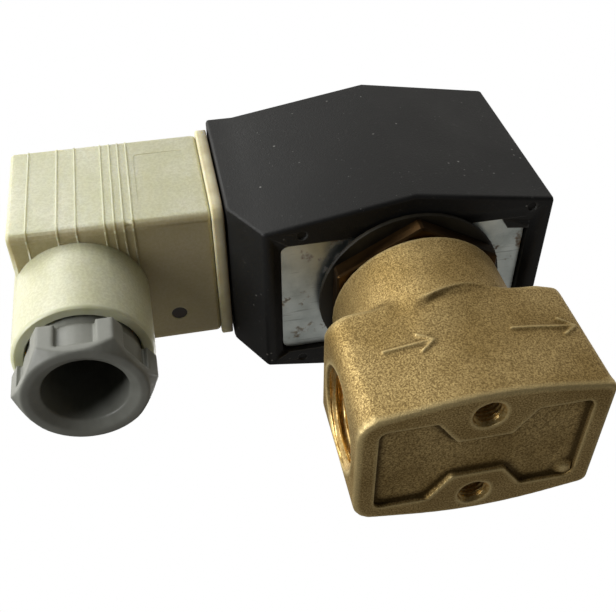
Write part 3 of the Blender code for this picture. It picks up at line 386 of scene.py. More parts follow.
def forged_brass():
    """Reads as sand-blasted metal: soft highlights broken by grit, brown film and painted shade in hollows,
    wear and a painted highlight on edges.
    """
    material, tree, shader, place = finish("brass_forged_and_blasted", "#c4a66c", 0.5, metallic=1.0)
    film = ramp(tree, noise(tree, place, 11.0, 4.0), 0.36, 0.66)
    tone = blend_colour(tree, film, "#b0965f", "#d2b87f")
    speck = ramp(tree, noise(tree, place, GRIT_MM, 3.0, 0.6), 0.38, 0.64)
    tone = blend_colour(tree, ramp(tree, speck, 0.0, 1.0, 0.70, 0.0), tone, "#67512d")
    form = add(tree, "ShaderNodeAttribute", {"attribute_name": "hollow_mm"}).outputs["Fac"]
    # Painted shade, partly a real brown film: the deeper a point sits below the smoothed surface, the darker
    # brown it is painted.
    brown_film_and_shade = ramp(tree, form, 0.02, 0.20, 0.0, 0.85)
    tone = blend_colour(tree, brown_film_and_shade, tone, "#4c3a1c")
    # Painted highlight, partly wear: convex edges are painted a pale brass.
    edge = ramp(tree, form, -0.26, -0.07, 0.65, 0.0)
    tone = blend_colour(tree, edge, tone, "#ead6a0")
    tree.links.new(tone, shader.inputs["Base Color"])
    tree.links.new(ramp(tree, speck, 0.0, 1.0, 0.70, 0.50), shader.inputs["Roughness"])   # pits are rougher
    soft = relief(tree, shader, noise(tree, place, 2.6, 3.0), 0.05, 0.5)
    relief(tree, shader, noise(tree, place, GRIT_MM, 3.0, 0.65), 0.085, 1.0, under=soft)
    return material


keep("forged_brass", forged_brass())

# %% [markdown]
# ## Turned brass
#
# The bonnet is turned and has tarnished to a dark brown. A ring pattern would look drawn; noise that is
# stretched 25 times along X and Y and left alone along Z gives uneven rings, as a lathe does.

# %% Turned brass
LATHE_MARK_MM = 0.35                     # a lathe feeds about 0.1 mm a turn, too fine to show from here


def turned_brass():
    """Reads as lathe work: thin rings that stretch the highlight, dulled by a brown film."""
    material, tree, shader, place = finish("brass_turned_and_tarnished", "#4a3520", 0.38, metallic=1.0)
    rings = noise(tree, place, LATHE_MARK_MM, 2.0, stretch=(0.04, 0.04, 1.0))
    film = ramp(tree, noise(tree, place, 7.0, 3.0), 0.35, 0.7)
    tree.links.new(blend_colour(tree, film, "#2c2013", "#5a4328"), shader.inputs["Base Color"])
    tree.links.new(ramp(tree, rings, 0.3, 0.7, 0.32, 0.48), shader.inputs["Roughness"])
    relief(tree, shader, rings, 0.02, 0.6)
    return material


keep("turned_brass", turned_brass())

# %% [markdown]
# ## Freshly cut brass
#
# A tap leaves clean metal with fine chatter marks. No blasting reached it, so it is the brightest brass here.

# %% Freshly cut brass


def threaded_brass():
    """Reads as a fresh cut: bright crests inside the ports and the mounting holes."""
    material, tree, shader, place = finish("brass_cut_thread", "#dcbc78", 0.38, metallic=1.0)
    chatter = noise(tree, place, 0.4, 3.0)           # coarser than the real marks, so that they show
    tree.links.new(blend_colour(tree, ramp(tree, chatter, 0.3, 0.7), "#c09a55", "#ecd193"),
                   shader.inputs["Base Color"])
    relief(tree, shader, chatter, 0.015, 0.5)
    return material


keep("cut_thread", threaded_brass())

# %% [markdown]
# ## Drawn and turned metals
#
# The guide tube is drawn stainless steel, so its marks run along it. The core and the plunger are soft
# magnetic iron with a thin flash of nickel, and the blades are tinned brass. One recipe serves them all: two
# tones in clouds and marks stretched in one direction. The marks are coarser than the real ones, which are
# finer than 0.1 mm.

# %% Drawn and turned metals


def drawn_metal(name, dark, light, roughness, size_mm, stretch):
    """Plain metal with marks in one direction, tone clouds and a faint relief of the marks."""
    material, tree, shader, place = finish(name, light, roughness, metallic=1.0)
    marks = noise(tree, place, size_mm, 2.0, stretch=stretch)
    cloud = ramp(tree, noise(tree, place, 8.0, 3.0), 0.35, 0.65)
    tree.links.new(blend_colour(tree, cloud, dark, light), shader.inputs["Base Color"])
    tree.links.new(ramp(tree, marks, 0.3, 0.7, roughness - 0.06, roughness + 0.1), shader.inputs["Roughness"])
    relief(tree, shader, marks, 0.012, 0.5)
    return material


DRAWN = {         # slot: name, dark and light tone, roughness, width of the marks in mm, stretch
    "stainless": ("steel_stainless_drawn", "#9b9b96", "#c9c9c4", 0.28, 0.3, (1.0, 1.0, 0.04)),
    "soft_iron": ("iron_soft_nickel_flash", "#77746c", "#a9a69d", 0.36, 0.3, (0.05, 0.05, 1.0)),
    "spring_steel": ("steel_spring_wire", "#8b8b88", "#bdbdb9", 0.26, 0.2, (1.0, 1.0, 0.2)),
    "tinned_brass": ("brass_tinned", "#9d9c95", "#c9c8c0", 0.32, 0.3, (0.05, 1.0, 1.0)),
}
for slot_name, values in DRAWN.items():
    keep(slot_name, drawn_metal(*values))

# %% [markdown]
# ## Zinc plate
#
# The yoke is zinc plated sheet: bluish white, scratched where it slid into its moulding, and rusting in
# patches where water sits. Rust is no metal, so where it grows the metallic value falls and the surface
# turns rough; a colour change alone would look like paint.

# %% Zinc plate


def zinc_plate():
    """Reads as old plated sheet: satin blue-white, dulled in clouds, scratched, with rust in patches."""
    material, tree, shader, place = finish("steel_zinc_plated_worn", "#c3cbca", 0.42, metallic=1.0)
    cloud = ramp(tree, noise(tree, place, 6.0, 4.0), 0.3, 0.7)
    tone = blend_colour(tree, cloud, "#b3bcba", "#e6edeb")
    dull = ramp(tree, noise(tree, place, 2.2, 4.0, 0.6), 0.45, 0.68)
    tone = blend_colour(tree, ramp(tree, dull, 0.0, 1.0, 0.0, 0.4), tone, "#e6ebe8")
    scratch = noise(tree, place, 0.5, 2.0, stretch=(0.06, 1.0, 1.0))     # wider than real hairline scratches
    cut = ramp(tree, scratch, 0.66, 0.71)
    tone = blend_colour(tree, ramp(tree, cut, 0.0, 1.0, 0.0, 0.35), tone, "#6c706c")
    rust = ramp(tree, noise(tree, place, 5.0, 5.0, 0.65), 0.57, 0.66, 0.0, 0.8)
    tone = blend_colour(tree, rust, tone, "#86602f")
    tree.links.new(tone, shader.inputs["Base Color"])
    tree.links.new(ramp(tree, rust, 0.0, 0.8, 1.0, 0.15), shader.inputs["Metallic"])
    tree.links.new(ramp(tree, rust, 0.0, 0.8, 0.40, 0.85), shader.inputs["Roughness"])
    relief(tree, shader, scratch, 0.012, 0.3)
    return material


keep("zinc_plate", zinc_plate())

# %% [markdown]
# ## Copper winding
#
# The winding is thin copper wire under clear orange enamel, and it hides inside the coil. Modelling each turn
# would cost millions of faces, so bands in the material stand for the layers. A wave texture repeats every
# 2 pi / 20 of its scaled coordinate, which makes these bands 2.2 mm apart, far coarser than the wire.

# %% Copper winding
WAVE_FACTOR = 20                         # built into the wave texture
BAND_MM = 0.35                           # the band's spacing over 2 pi


def copper_winding():
    """Reads as wound wire: dark and bright bands under clear orange enamel."""
    material, tree, shader, place = finish("copper_enamelled_winding", "#b4602e", 0.3, metallic=0.9)
    scale = 1.0 / (BAND_MM * MM) / WAVE_FACTOR
    turns = add(tree, "ShaderNodeTexWave", {"bands_direction": "Z", "Scale": scale, "Distortion": 0.3},
                {"Vector": place}).outputs["Fac"]
    tree.links.new(blend_colour(tree, turns, "#6e3216", "#c8743a"), shader.inputs["Base Color"])
    shader.inputs["Coat Weight"].default_value = 0.6
    relief(tree, shader, turns, 0.08, 0.8)
    return material


keep("copper", copper_winding())

# %% [markdown]
# ## Black polyamide
#
# The coil is cast into black glass-filled polyamide. Its mould was spark-eroded, which leaves a fine even
# grain that takes the shine off, and pale dust sits in it. Its edges are rounded a little and painted a
# lighter grey, partly worn and partly a painted highlight.
# They could be bevelled in the mesh, but the bevel node rounds only the shading and leaves the size alone.

# %% Black polyamide
ERODED_GRAIN_MM = 0.32                   # the real grain is about 0.05 mm, too fine to show from here
EDGE_ROUND_MM = 0.4


def dust(tree, place, cell_mm, patch_mm, low, high):
    """Scattered specks, one for each cell, only where a cloudy patch is strong."""
    cell = add(tree, "ShaderNodeTexVoronoi", {"Scale": grain_size(cell_mm)}, {"Vector": place})
    speck = ramp(tree, cell.outputs["Distance"], 0.05, 0.13, 1.0, 0.0)
    patch = ramp(tree, noise(tree, place, patch_mm, 3.0), low, high)
    return add(tree, "ShaderNodeMath", {"operation": "MULTIPLY"}, {0: speck, 1: patch}).outputs[0]


def black_polyamide():
    """Reads as grained black plastic: charcoal in the light, with scattered pale dust."""
    material, tree, shader, place = finish("polyamide_black_grained", "#1a1a1a", 0.55, ior=1.53)
    cloud = ramp(tree, noise(tree, place, 14.0, 4.0), 0.3, 0.7)
    tone = blend_colour(tree, cloud, "#101010", "#181818")
    haze = ramp(tree, noise(tree, place, 1.1, 5.0, 0.7), 0.60, 0.78, 0.0, 0.35)
    tone = blend_colour(tree, haze, tone, "#4a4a48")
    tone = blend_colour(tree, dust(tree, place, 0.9, 5.0, 0.55, 0.66), tone, "#6f6f6d")
    tone = blend_colour(tree, dust(tree, place, 2.0, 9.0, 0.56, 0.66), tone, "#a3a29d")
    soft_edge = add(tree, "ShaderNodeBevel", {"samples": 4, "Radius": EDGE_ROUND_MM * MM}).outputs["Normal"]
    true_face = add(tree, "ShaderNodeNewGeometry").outputs["Normal"]
    facing = add(tree, "ShaderNodeVectorMath", {"operation": "DOT_PRODUCT"}, {0: soft_edge, 1: true_face})
    # Painted highlight, partly wear: at the edges, where the bevel normal turns away from the face, the
    # colour is painted a lighter grey.
    worn_and_highlit = ramp(tree, facing.outputs["Value"], 0.90, 0.99, 0.55, 0.0)
    tone = blend_colour(tree, worn_and_highlit, tone, "#6a6a67")
    tree.links.new(tone, shader.inputs["Base Color"])
    tree.links.new(ramp(tree, cloud, 0.0, 1.0, 0.48, 0.62), shader.inputs["Roughness"])
    shader.inputs["Specular IOR Level"].default_value = 0.32     # the eroded grain dulls the shine
    relief(tree, shader, noise(tree, place, ERODED_GRAIN_MM, 3.0, 0.6), 0.06, 0.9, under=soft_edge)
    return material


keep("black_polyamide", black_polyamide())

# %% [markdown]
# ## Clear polyamide
#
# The plug is clear polyamide that has yellowed. Light enters it, scatters and leaves some way off, so its
# walls glow and the dark terminal block shows through them as a shadow. True transmission through thick,
# cloudy plastic renders slowly and noisily, so the glow is subsurface scatter and the shadow is worked out
# from the place of the block.

# %% Clear polyamide
PLUG_GRAIN_MM = 0.5                      # the real mould grain is about 0.1 mm, too fine to show from here


def terminal_shadow(tree, place):
    """1 where the terminal block is close behind the housing's wall, fading out over a few millimetres."""
    low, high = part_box("terminal_block")
    apart = add(tree, "ShaderNodeSeparateXYZ", None, {"Vector": place})
    share = None
    for axis, fade_mm in ((0, 3.0), (1, 4.0), (2, 4.0)):
        half = (high[axis] - low[axis]) / 2
        centre = (high[axis] + low[axis]) / 2
        off = add(tree, "ShaderNodeMath", {"operation": "SUBTRACT", 1: centre}, {0: apart.outputs[axis]})
        off = add(tree, "ShaderNodeMath", {"operation": "ABSOLUTE"}, {0: off.outputs[0]})
        near = ramp(tree, off.outputs[0], half, half + fade_mm * MM, 1.0, 0.0)
        if share:
            near = add(tree, "ShaderNodeMath", {"operation": "MULTIPLY"}, {0: share, 1: near}).outputs[0]
        share = near
    return share


def clear_polyamide():
    """Reads as cloudy yellowed plastic: it glows, its underside is painted browner as shade, dark pieces show
    as shadows.
    """
    material, tree, shader, place = finish("polyamide_clear_yellowed", "#eeecd2", 0.42, ior=1.53)
    cloud = ramp(tree, noise(tree, place, 9.0, 4.0), 0.3, 0.7)
    tone = blend_colour(tree, cloud, "#d8d8b3", "#e8e7cf")
    speck = ramp(tree, noise(tree, place, PLUG_GRAIN_MM, 2.0, 0.6), 0.40, 0.62)
    tone = blend_colour(tree, ramp(tree, speck, 0.0, 1.0, 0.34, 0.0), tone, "#b9b68e")
    facing = add(tree, "ShaderNodeTexCoord").outputs["Normal"]
    down = add(tree, "ShaderNodeSeparateXYZ", None, {"Vector": facing}).outputs["Z"]
    # Painted shade: faces that look down are painted browner, and the terminal block's painted shadow is
    # deeper on them.
    tone = blend_colour(tree, ramp(tree, down, -0.9, -0.2, 0.55, 0.0), tone, "#b0985e")
    depth = ramp(tree, down, -0.9, -0.2, 0.5, 0.22)
    behind = terminal_shadow(tree, place)
    shadow = add(tree, "ShaderNodeMath", {"operation": "MULTIPLY"}, {0: behind, 1: depth})
    tone = blend_colour(tree, shadow.outputs[0], tone, "#7d6840")
    tree.links.new(tone, shader.inputs["Base Color"])
    shader.inputs["Subsurface Weight"].default_value = 0.8
    shader.inputs["Subsurface Radius"].default_value = (1.0, 0.9, 0.6)
    shader.inputs["Subsurface Scale"].default_value = 1.6 * MM
    shader.inputs["Transmission Weight"].default_value = 0.10
    relief(tree, shader, noise(tree, place, 0.45, 2.0, 0.7), 0.05, 0.6)
    return material


keep("clear_polyamide", clear_polyamide())

# %% [markdown]
# ## Thin clear edges
#
# The same plastic looks paler and clearer where it is thin: on the grip ribs and on the boss's rim. Scatter
# over a shorter distance and less yellow give that.

# %% Thin clear edges


def thin_polyamide():
    """Reads as a thin clear edge: ribs and rims let light through and look paler than the walls."""
    material, tree, shader, place = finish("polyamide_clear_thin_edge", "#f0f0d2", 0.35, ior=1.53)
    cloud = ramp(tree, noise(tree, place, 4.0, 3.0), 0.3, 0.7)
    tree.links.new(blend_colour(tree, cloud, "#cfd0ab", "#dfdfc6"), shader.inputs["Base Color"])
    shader.inputs["Subsurface Weight"].default_value = 0.8
    shader.inputs["Subsurface Radius"].default_value = (1.0, 0.95, 0.7)
    shader.inputs["Subsurface Scale"].default_value = 1.0 * MM
    relief(tree, shader, noise(tree, place, 1.2, 2.0), 0.01, 0.5)
    return material


keep("thin_polyamide", thin_polyamide())

# %% [markdown]
# ## Clear silicone
#
# The plug's gasket is soft clear silicone, aged to pale amber. Grime gathers where it meets the coil, so its
# colour follows the distance from that face.

# %% Clear silicone


def clear_silicone():
    """Reads as aged soft seal: pale amber and translucent, with brown grime where it meets the coil."""
    material, tree, shader, place = finish("silicone_clear_aged", "#ded8b6", 0.5, ior=1.43)
    cloud = ramp(tree, noise(tree, place, 3.0, 4.0), 0.3, 0.7)
    tone = blend_colour(tree, cloud, "#cbc09a", "#dfd9b8")
    low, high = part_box("connector_gasket")
    along = add(tree, "ShaderNodeSeparateXYZ", None, {"Vector": place}).outputs["X"]
    grime = ramp(tree, along, low.x + 0.3 * (high.x - low.x), high.x, 0.0, 0.85)
    tree.links.new(blend_colour(tree, grime, tone, "#5e4c36"), shader.inputs["Base Color"])
    shader.inputs["Subsurface Weight"].default_value = 0.8
    shader.inputs["Subsurface Radius"].default_value = (1.0, 0.8, 0.4)
    shader.inputs["Subsurface Scale"].default_value = 1.2 * MM
    relief(tree, shader, noise(tree, place, 0.6, 3.0), 0.02, 0.5)     # the skin's slight waviness
    return material


keep("clear_silicone", clear_silicone())

# %% [markdown]
# ## Plain moulded plastics
#
# The nut, the terminal parts, the bobbin and the rubber seals are all moulded, and differ only in colour,
# shine and grain. One recipe with those numbers keeps them alike. The grain is coarser than a real mould's.

# %% Plain moulded plastics


def moulded_plastic(name, dark, light, roughness, grain_mm, depth_mm, ior=1.5):
    """Plain moulded plastic with tone clouds and an even grain."""
    material, tree, shader, place = finish(name, light, roughness, ior=ior)
    cloud = ramp(tree, noise(tree, place, 5.0, 4.0), 0.3, 0.7)
    tone = blend_colour(tree, cloud, dark, light)
    fleck = ramp(tree, noise(tree, place, grain_mm * 2.0, 2.0), 0.60, 0.72, 0.0, 0.25)
    tree.links.new(blend_colour(tree, fleck, tone, light), shader.inputs["Base Color"])
    uneven = ramp(tree, cloud, 0.0, 1.0, roughness - 0.06, roughness + 0.08)
    tree.links.new(uneven, shader.inputs["Roughness"])
    relief(tree, shader, noise(tree, place, grain_mm, 2.0, 0.6), depth_mm, 0.6)
    return material


MOULDED = {       # slot: name, dark and light tone, roughness, grain and its depth in mm, then maybe IOR
    "black_rubber": ("rubber_brown_black_moulded", "#15120c", "#2b2619", 0.5, 0.4, 0.02, 1.52),
    "bobbin_white": ("polyester_bobbin_ivory", "#c9c2ae", "#ded8c8", 0.48, 0.4, 0.02),
    "grey_polyamide": ("polyamide_grey_satin", "#787971", "#8a8b83", 0.46, 0.35, 0.02, 1.53),
    "terminal_black": ("polyamide_terminal_black", "#241a15", "#332820", 0.5, 0.35, 0.03),
    "board_green": ("board_glass_epoxy_green", "#12452a", "#1c6a3c", 0.3, 0.6, 0.02),
}
for slot_name, values in MOULDED.items():
    keep(slot_name, moulded_plastic(*values))

# %% [markdown]
# ## Label and lamp
#
# The nameplate is brushed foil under matt lacquer, left blank. The indicator lamp has a red diffuser that
# spreads its light, so it scatters like a sweet.

# %% Label and lamp


def foil_label():
    """Reads as a blank metal foil: brushed across, matt lacquer."""
    material, tree, shader, place = finish("foil_label_brushed", "#b8bab8", 0.34, metallic=0.8)
    brush = noise(tree, place, 0.25, 2.0, stretch=(1.0, 0.03, 1.0))  # real brush lines are finer still
    tree.links.new(blend_colour(tree, brush, "#9a9c9b", "#d0d2d0"), shader.inputs["Base Color"])
    relief(tree, shader, brush, 0.01, 0.4)
    return material


def lamp_red():
    """Reads as a small diffused lamp: deep red, glossy, glows when light is behind it."""
    material, tree, shader, place = finish("lamp_diffused_red", "#b3201a", 0.18, ior=1.5)
    cloud = noise(tree, place, 1.5, 2.0)
    tree.links.new(blend_colour(tree, cloud, "#8e1410", "#cc3028"), shader.inputs["Base Color"])
    shader.inputs["Subsurface Weight"].default_value = 0.5
    shader.inputs["Subsurface Scale"].default_value = 1.0 * MM
    return material


keep("silver_label", foil_label())
keep("lamp_red", lamp_red())

# %% [markdown]
# ## One finish for each slot
#
# The record names a material slot for every node, so the finishes are handed out by slot. Naming each node's
# material one by one would do the same in forty lines.

# %% Hand out the finishes
SLOTS = {part["node"]: part["material_slot"] for part in frame["record"]["subparts"]}


def wear_finish(obj, slot):
    """Put a finish in every material slot of an object."""
    if not obj.material_slots:
        obj.data.materials.append(FINISHES[slot])
    for index in range(len(obj.material_slots)):
        obj.material_slots[index].material = FINISHES[slot]


for node_name, node in NODES.items():
    wear_finish(node, SLOTS[node_name])
print(len(NODES), "nodes carry", len(set(SLOTS.values())), "finishes")

# %% [markdown]
# ## Building pieces in mesh code
#
# A piece that replaces a CAD node starts as a copy of that node, so it fits by construction. It is then
# carved with exact booleans, or remeshed into small even quads and worked like clay. Modelling from scratch
# would give neater faces, but each size would have to be found again.

# %% Mesh tools
WELD_DISTANCE = 1e-6                     # metres, a thousandth of a millimetre


def new_piece(name, bm):
    """A linked object from a bmesh, with its faces pointing out."""
    bm.normal_update()
    bmesh.ops.recalc_face_normals(bm, faces=bm.faces)
    mesh = bpy.data.meshes.new(name)
    bm.to_mesh(mesh)
    bm.free()
    piece = bpy.data.objects.new(name, mesh)
    bpy.context.collection.objects.link(piece)
    return piece


def copy_of(node_name, name):
    """A welded copy of a CAD node."""
    bm = bmesh.new()
    bm.from_mesh(NODES[node_name].data)
    bmesh.ops.remove_doubles(bm, verts=bm.verts, dist=WELD_DISTANCE)
    return new_piece(name, bm)


def apply_modifiers(piece):
    """Turn the piece's modifiers into its mesh."""
    graph = bpy.context.evaluated_depsgraph_get()
    mesh = bpy.data.meshes.new_from_object(piece.evaluated_get(graph))
    piece.modifiers.clear()
    piece.data = mesh


def carve(piece, tools, operation="DIFFERENCE"):
    """Cut or join closed tool meshes with an exact boolean, then remove them."""
    for tool in tools:
        modifier = piece.modifiers.new("carve", "BOOLEAN")
        modifier.operation = operation
        modifier.object = tool
    bpy.context.view_layer.update()
    apply_modifiers(piece)
    for tool in tools:
        bpy.data.objects.remove(tool)


def shade(piece, slot, body, replaced=None, angle=None, crisp=None):
    """Finish, ride and replace a piece in one step. crisp(face) picks faces with sharp outlines."""
    wear_finish(piece, slot)
    piece.data.shade_smooth()
    if angle:
        piece.data.set_sharp_from_angle(angle=math.radians(angle))
        outlines = {key for face in piece.data.polygons if crisp and crisp(face) for key in face.edge_keys}
        for edge in piece.data.edges:
            edge.use_edge_sharp = edge.use_edge_sharp or edge.key in outlines
        flat = piece.modifiers.new("flat_faces_stay_flat", "WEIGHTED_NORMAL")
        flat.keep_sharp = True
        apply_modifiers(piece)
    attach(piece, body)
    if replaced:
        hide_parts(replaced)
    return piece


print("corners closer than", WELD_DISTANCE / MM, "mm are welded")

# %% [markdown]
# ## Simple solids
#
# Most cuts are made with a round bar or a flat plate. The operators of Blender's Add menu would make them
# too, but they depend on what is selected; bmesh makes them straight from numbers.

# %% Simple solids


def cylinder(radius, low, high, place, sides=48, top=None):
    """Closed cylinder or cone along Z, moved by place. Radii are low and top."""
    bm = bmesh.new()
    bmesh.ops.create_cone(bm, cap_ends=True, segments=sides, radius1=radius,
                          radius2=radius if top is None else top, depth=high - low)
    bmesh.ops.translate(bm, verts=bm.verts, vec=(0.0, 0.0, (low + high) / 2))
    bmesh.ops.transform(bm, verts=bm.verts, matrix=place)
    return new_piece("tool", bm)


def plate(outline, low, high, place=Matrix.Identity(4)):
    """Flat outline of (x, y) points, extruded along Z and moved by place."""
    bm = bmesh.new()
    face = bm.faces.new([bm.verts.new((x, y, low)) for x, y in outline])
    grown = bmesh.ops.extrude_face_region(bm, geom=[face])["geom"]
    top = [v for v in grown if isinstance(v, bmesh.types.BMVert)]
    bmesh.ops.translate(bm, verts=top, vec=(0.0, 0.0, high - low))
    bmesh.ops.transform(bm, verts=bm.verts, matrix=place)
    return new_piece("tool", bm)


def round_rectangle(x0, x1, y0, y1, radius, steps=5):
    """Points of a rectangle with round corners, counter-clockwise."""
    corners = [(x1 - radius, y1 - radius, 0.0), (x0 + radius, y1 - radius, 0.25),
               (x0 + radius, y0 + radius, 0.5), (x1 - radius, y0 + radius, 0.75)]
    return [(x + radius * math.cos(math.tau * (start + 0.25 * i / steps)),
             y + radius * math.sin(math.tau * (start + 0.25 * i / steps)))
            for x, y, start in corners for i in range(steps + 1)]


def at(x, y, z):
    return Matrix.Translation((x, y, z))


TO_PLUS_X = Matrix.Rotation(math.pi / 2, 4, "Y")     # local Z along +X
TO_MINUS_X = Matrix.Rotation(-math.pi / 2, 4, "Y")   # local Z along -X
print("a rounded rectangle has", len(round_rectangle(0.0, 4.0, 0.0, 3.0, 0.5)), "points")

# %% [markdown]
# ## Clay tools
#
# Numpy moves all the points of a fine mesh at once, where a loop over vertices would take minutes. Relaxing
# draws each point towards its neighbours, which rounds an edge as a file does; a weight says where.

# %% Clay tools


def remesh(piece, voxel_mm):
    """Wrap the piece in a new skin of even quads of that size."""
    modifier = piece.modifiers.new("clay", "REMESH")
    modifier.mode = "VOXEL"
    modifier.voxel_size = voxel_mm * MM
    apply_modifiers(piece)


def points_of(piece):
    """Vertex positions, normals and edges as arrays."""
    mesh = piece.data
    count = len(mesh.vertices)
    points = np.empty(count * 3, np.float32)
    mesh.vertices.foreach_get("co", points)
    normals = np.empty(count * 3, np.float32)
    mesh.vertex_normals.foreach_get("vector", normals)
    edges = np.empty(len(mesh.edges) * 2, np.int32)
    mesh.edges.foreach_get("vertices", edges)
    return points.reshape(-1, 3).astype(float), normals.reshape(-1, 3), edges.reshape(-1, 2)


def put_back(piece, points):
    piece.data.vertices.foreach_set("co", points.astype(np.float32).ravel())
    piece.data.update()


def relax(points, edges, weight, rounds):
    """Pull each vertex towards the mean of its neighbours. weight is 0 to 1 for each vertex."""
    count = len(points)
    ends = np.concatenate((edges[:, 0], edges[:, 1]))
    others = np.concatenate((edges[:, 1], edges[:, 0]))
    degree = np.maximum(np.bincount(ends, minlength=count), 1)
    for _ in range(rounds):
        mean = np.stack([np.bincount(ends, points[others, axis], count) / degree for axis in range(3)], 1)
        points = points + (mean - points) * (0.5 * weight)[:, None]
    return points


def fade(value, near, far):
    """1 below near, 0 above far, smooth between."""
    share = np.clip((value - near) / (far - near), 0.0, 1.0)
    return 1.0 - share * share * (3.0 - 2.0 * share)


def line_distance(x, z, start, end):
    """Distance from each (x, z) to a segment."""
    (ax, az), (bx, bz) = start, end
    length = (bx - ax) ** 2 + (bz - az) ** 2
    share = np.clip(((x - ax) * (bx - ax) + (z - az) * (bz - az)) / length, 0.0, 1.0)
    return np.hypot(x - ax - share * (bx - ax), z - az - share * (bz - az))


print("half way through a fade, its value is", fade(0.5, 0.0, 1.0))

# %% [markdown]
# ## Valve body
#
# The real body is one forging: a block for the ports with a round neck on top. A die can't leave a sharp
# corner, so the neck flows into the block's shoulders through a wide fillet, and every edge is soft. On the
# inlet half of each long side the neck's bulge runs down into the face; on the outlet half it ends in a
# crease. Raised arrows on the long sides show the flow, and the pocket in the base holds a small corner lug.
# Bevels break where a round neck meets a block at changing angles, so the body is worked as clay instead.

# %% Sizes of the forging
PIPE_CREST = 7.5 * MM                    # inner radius of a 3/8 inch pipe thread
PIPE_ROOT = 8.35 * MM
PIPE_PITCH = 1.337 * MM
SCREW_CREST = 2.1 * MM                   # inner radius of an M5 thread
SCREW_ROOT = 2.5 * MM
SCREW_PITCH = 0.8 * MM
SCREW_DEPTH = 6.3 * MM
HOLE_SLACK = 0.1 * MM                    # room for the thread sleeves
# From here on, sizes of the forging are in mm from the valve axis and from the base.
FORGING_VOXEL = 0.26
NECK_ROUND = 15.7
NECK_CLEAR = 24.0                        # above it the neck is round already
SIDE_FROM = 11.0                         # past it, to front and back, lie the long sides
SWELL = 0.5                              # share of the neck's bulge that the face takes up at the crease
SWELL_REACH = 8.0                        # how far below the crease the swell fades out
CREASE_X = (-9.0, -7.0, -2.0, 3.0, 20.0)
CREASE_Z = (18.6, 19.4, 21.0, 22.2, 22.2)
CREASE_END = (-9.0, -3.0)                # the crease dies out between these, towards the inlet
ARROWS = [((7.4, 12.6), (18.2, 12.6)), ((-13.0, 12.6), (-5.0, 12.6))]
ARROW_HEIGHT = 0.32
BARB = (2.3, 1.7)                        # how far back and how far up or down each barb reaches
POCKET_LUG = (15.4, 7.9)
POCKET_LUG_HEIGHT = 0.75
print("neck", NECK_ROUND * 2, "mm round, arrows", ARROW_HEIGHT, "mm high")

# %% Ream the holes


def ream_holes(piece):
    """Open the ports and the mounting holes to the roots of their threads."""
    bores = []
    for side, turn in ((-1, TO_PLUS_X), (1, TO_MINUS_X)):
        place = at(AXIS + side * HALF_BLOCK, 0.0, PORT_HEIGHT) @ turn
        bores.append(cylinder(PIPE_ROOT + HOLE_SLACK, -MM, PORT_DEPTH, place, 64))
    for side in (-1, 1):
        place = at(AXIS, side * MOUNT_SPACING / 2, 0.0)
        bores.append(cylinder(SCREW_ROOT + HOLE_SLACK, -MM, SCREW_DEPTH, place, 32))
    carve(piece, bores)
    print("reamed", len(bores), "holes")


# %% Shapes on the forging


def arrow_height(x, z):
    """Height of the raised flow arrows at each point of a long side, in mm."""
    height = np.zeros(len(x))
    for start, end in ARROWS:
        barb_x = end[0] - BARB[0]
        for first in (start, (barb_x, end[1] + BARB[1]), (barb_x, end[1] - BARB[1])):
            height = np.maximum(height, fade(line_distance(x, z, first, end), 0.12, 0.45))
    return height * ARROW_HEIGHT


print("an arrow's shaft stands", arrow_height(np.array([12.0]), np.array([12.6]))[0], "mm proud")


def sculpt_neck(x, y, z):
    """Push the taper under the neck out to the neck's own round, down to the crease."""
    crease = np.interp(x, CREASE_X, CREASE_Z)
    round_y = np.sqrt(np.maximum(NECK_ROUND ** 2 - x ** 2, 0.0))
    above = 1.0 - fade(z - crease, -0.1, 0.4)
    below = fade(crease - z, 0.0, SWELL_REACH) * SWELL
    share = np.maximum(above, below) * (np.abs(y) > SIDE_FROM) * (z < NECK_CLEAR)
    return y + np.sign(y) * np.maximum(round_y - np.abs(y), 0.0) * share


def soft_places(x, y, z):
    """Where the die left wide radii, 0 to 1: the neck's root on the port shoulders, the upright corners."""
    radius = np.hypot(x, y)
    outside = (radius > 13.0) | (z < 20.0)                   # not the neck's own bore
    from_joint = np.hypot(radius - NECK_ROUND, z - BLOCK_TOP / MM)
    root = fade(from_joint, 1.6, 4.4) * outside * (1.0 - fade(np.abs(x), 7.5, 11.5))
    from_corner = np.hypot(np.abs(x) - HALF_BLOCK / MM, np.abs(y) - BLOCK_HALF_DEPTH / MM)
    corner = fade(from_corner, 1.8, 4.2) * (z > 1.5)         # the pocket's edges stay as cut
    return np.maximum(root, 0.7 * corner)


def mark_hollows(piece):
    """Store how deep each point sits under the smoothed surface, in mm. Edges get negative values."""
    points, normals, edges = points_of(piece)
    smooth = relax(points, edges, np.ones(len(points)), 50)
    depth = np.sum((smooth - points) * normals, axis=1) / MM
    layer = piece.data.attributes.new("hollow_mm", "FLOAT", "POINT")
    layer.data.foreach_set("value", depth.astype(np.float32))
    print("hollows and edges (mm):", round(float(depth.max()), 2), round(float(depth.min()), 2))


# %% Forge the body


def from_axis(points):
    """x, y and z of each point in mm from the valve axis and the base."""
    return ((points - (AXIS, 0.0, 0.0)) / MM).T


def work_the_block(piece):
    """Push the neck out to its round, then soften what the die left soft."""
    points, _, edges = points_of(piece)
    points = relax(points, edges, np.ones(len(points)), 2)
    x, y, z = from_axis(points)
    points[:, 1] = sculpt_neck(x, y, z) * MM
    on_side = np.abs(y) > SIDE_FROM
    faded_end = fade(x, *CREASE_END) * fade(np.abs(z - 19.4), 1.5, 4.0) * on_side
    points = relax(points, edges, np.maximum(soft_places(x, y, z), faded_end), 60)
    crisp = fade(np.abs(z - 21.0), 2.0, 3.5) * on_side       # the crease itself only loses its burr
    put_back(piece, relax(points, edges, crisp, 3))


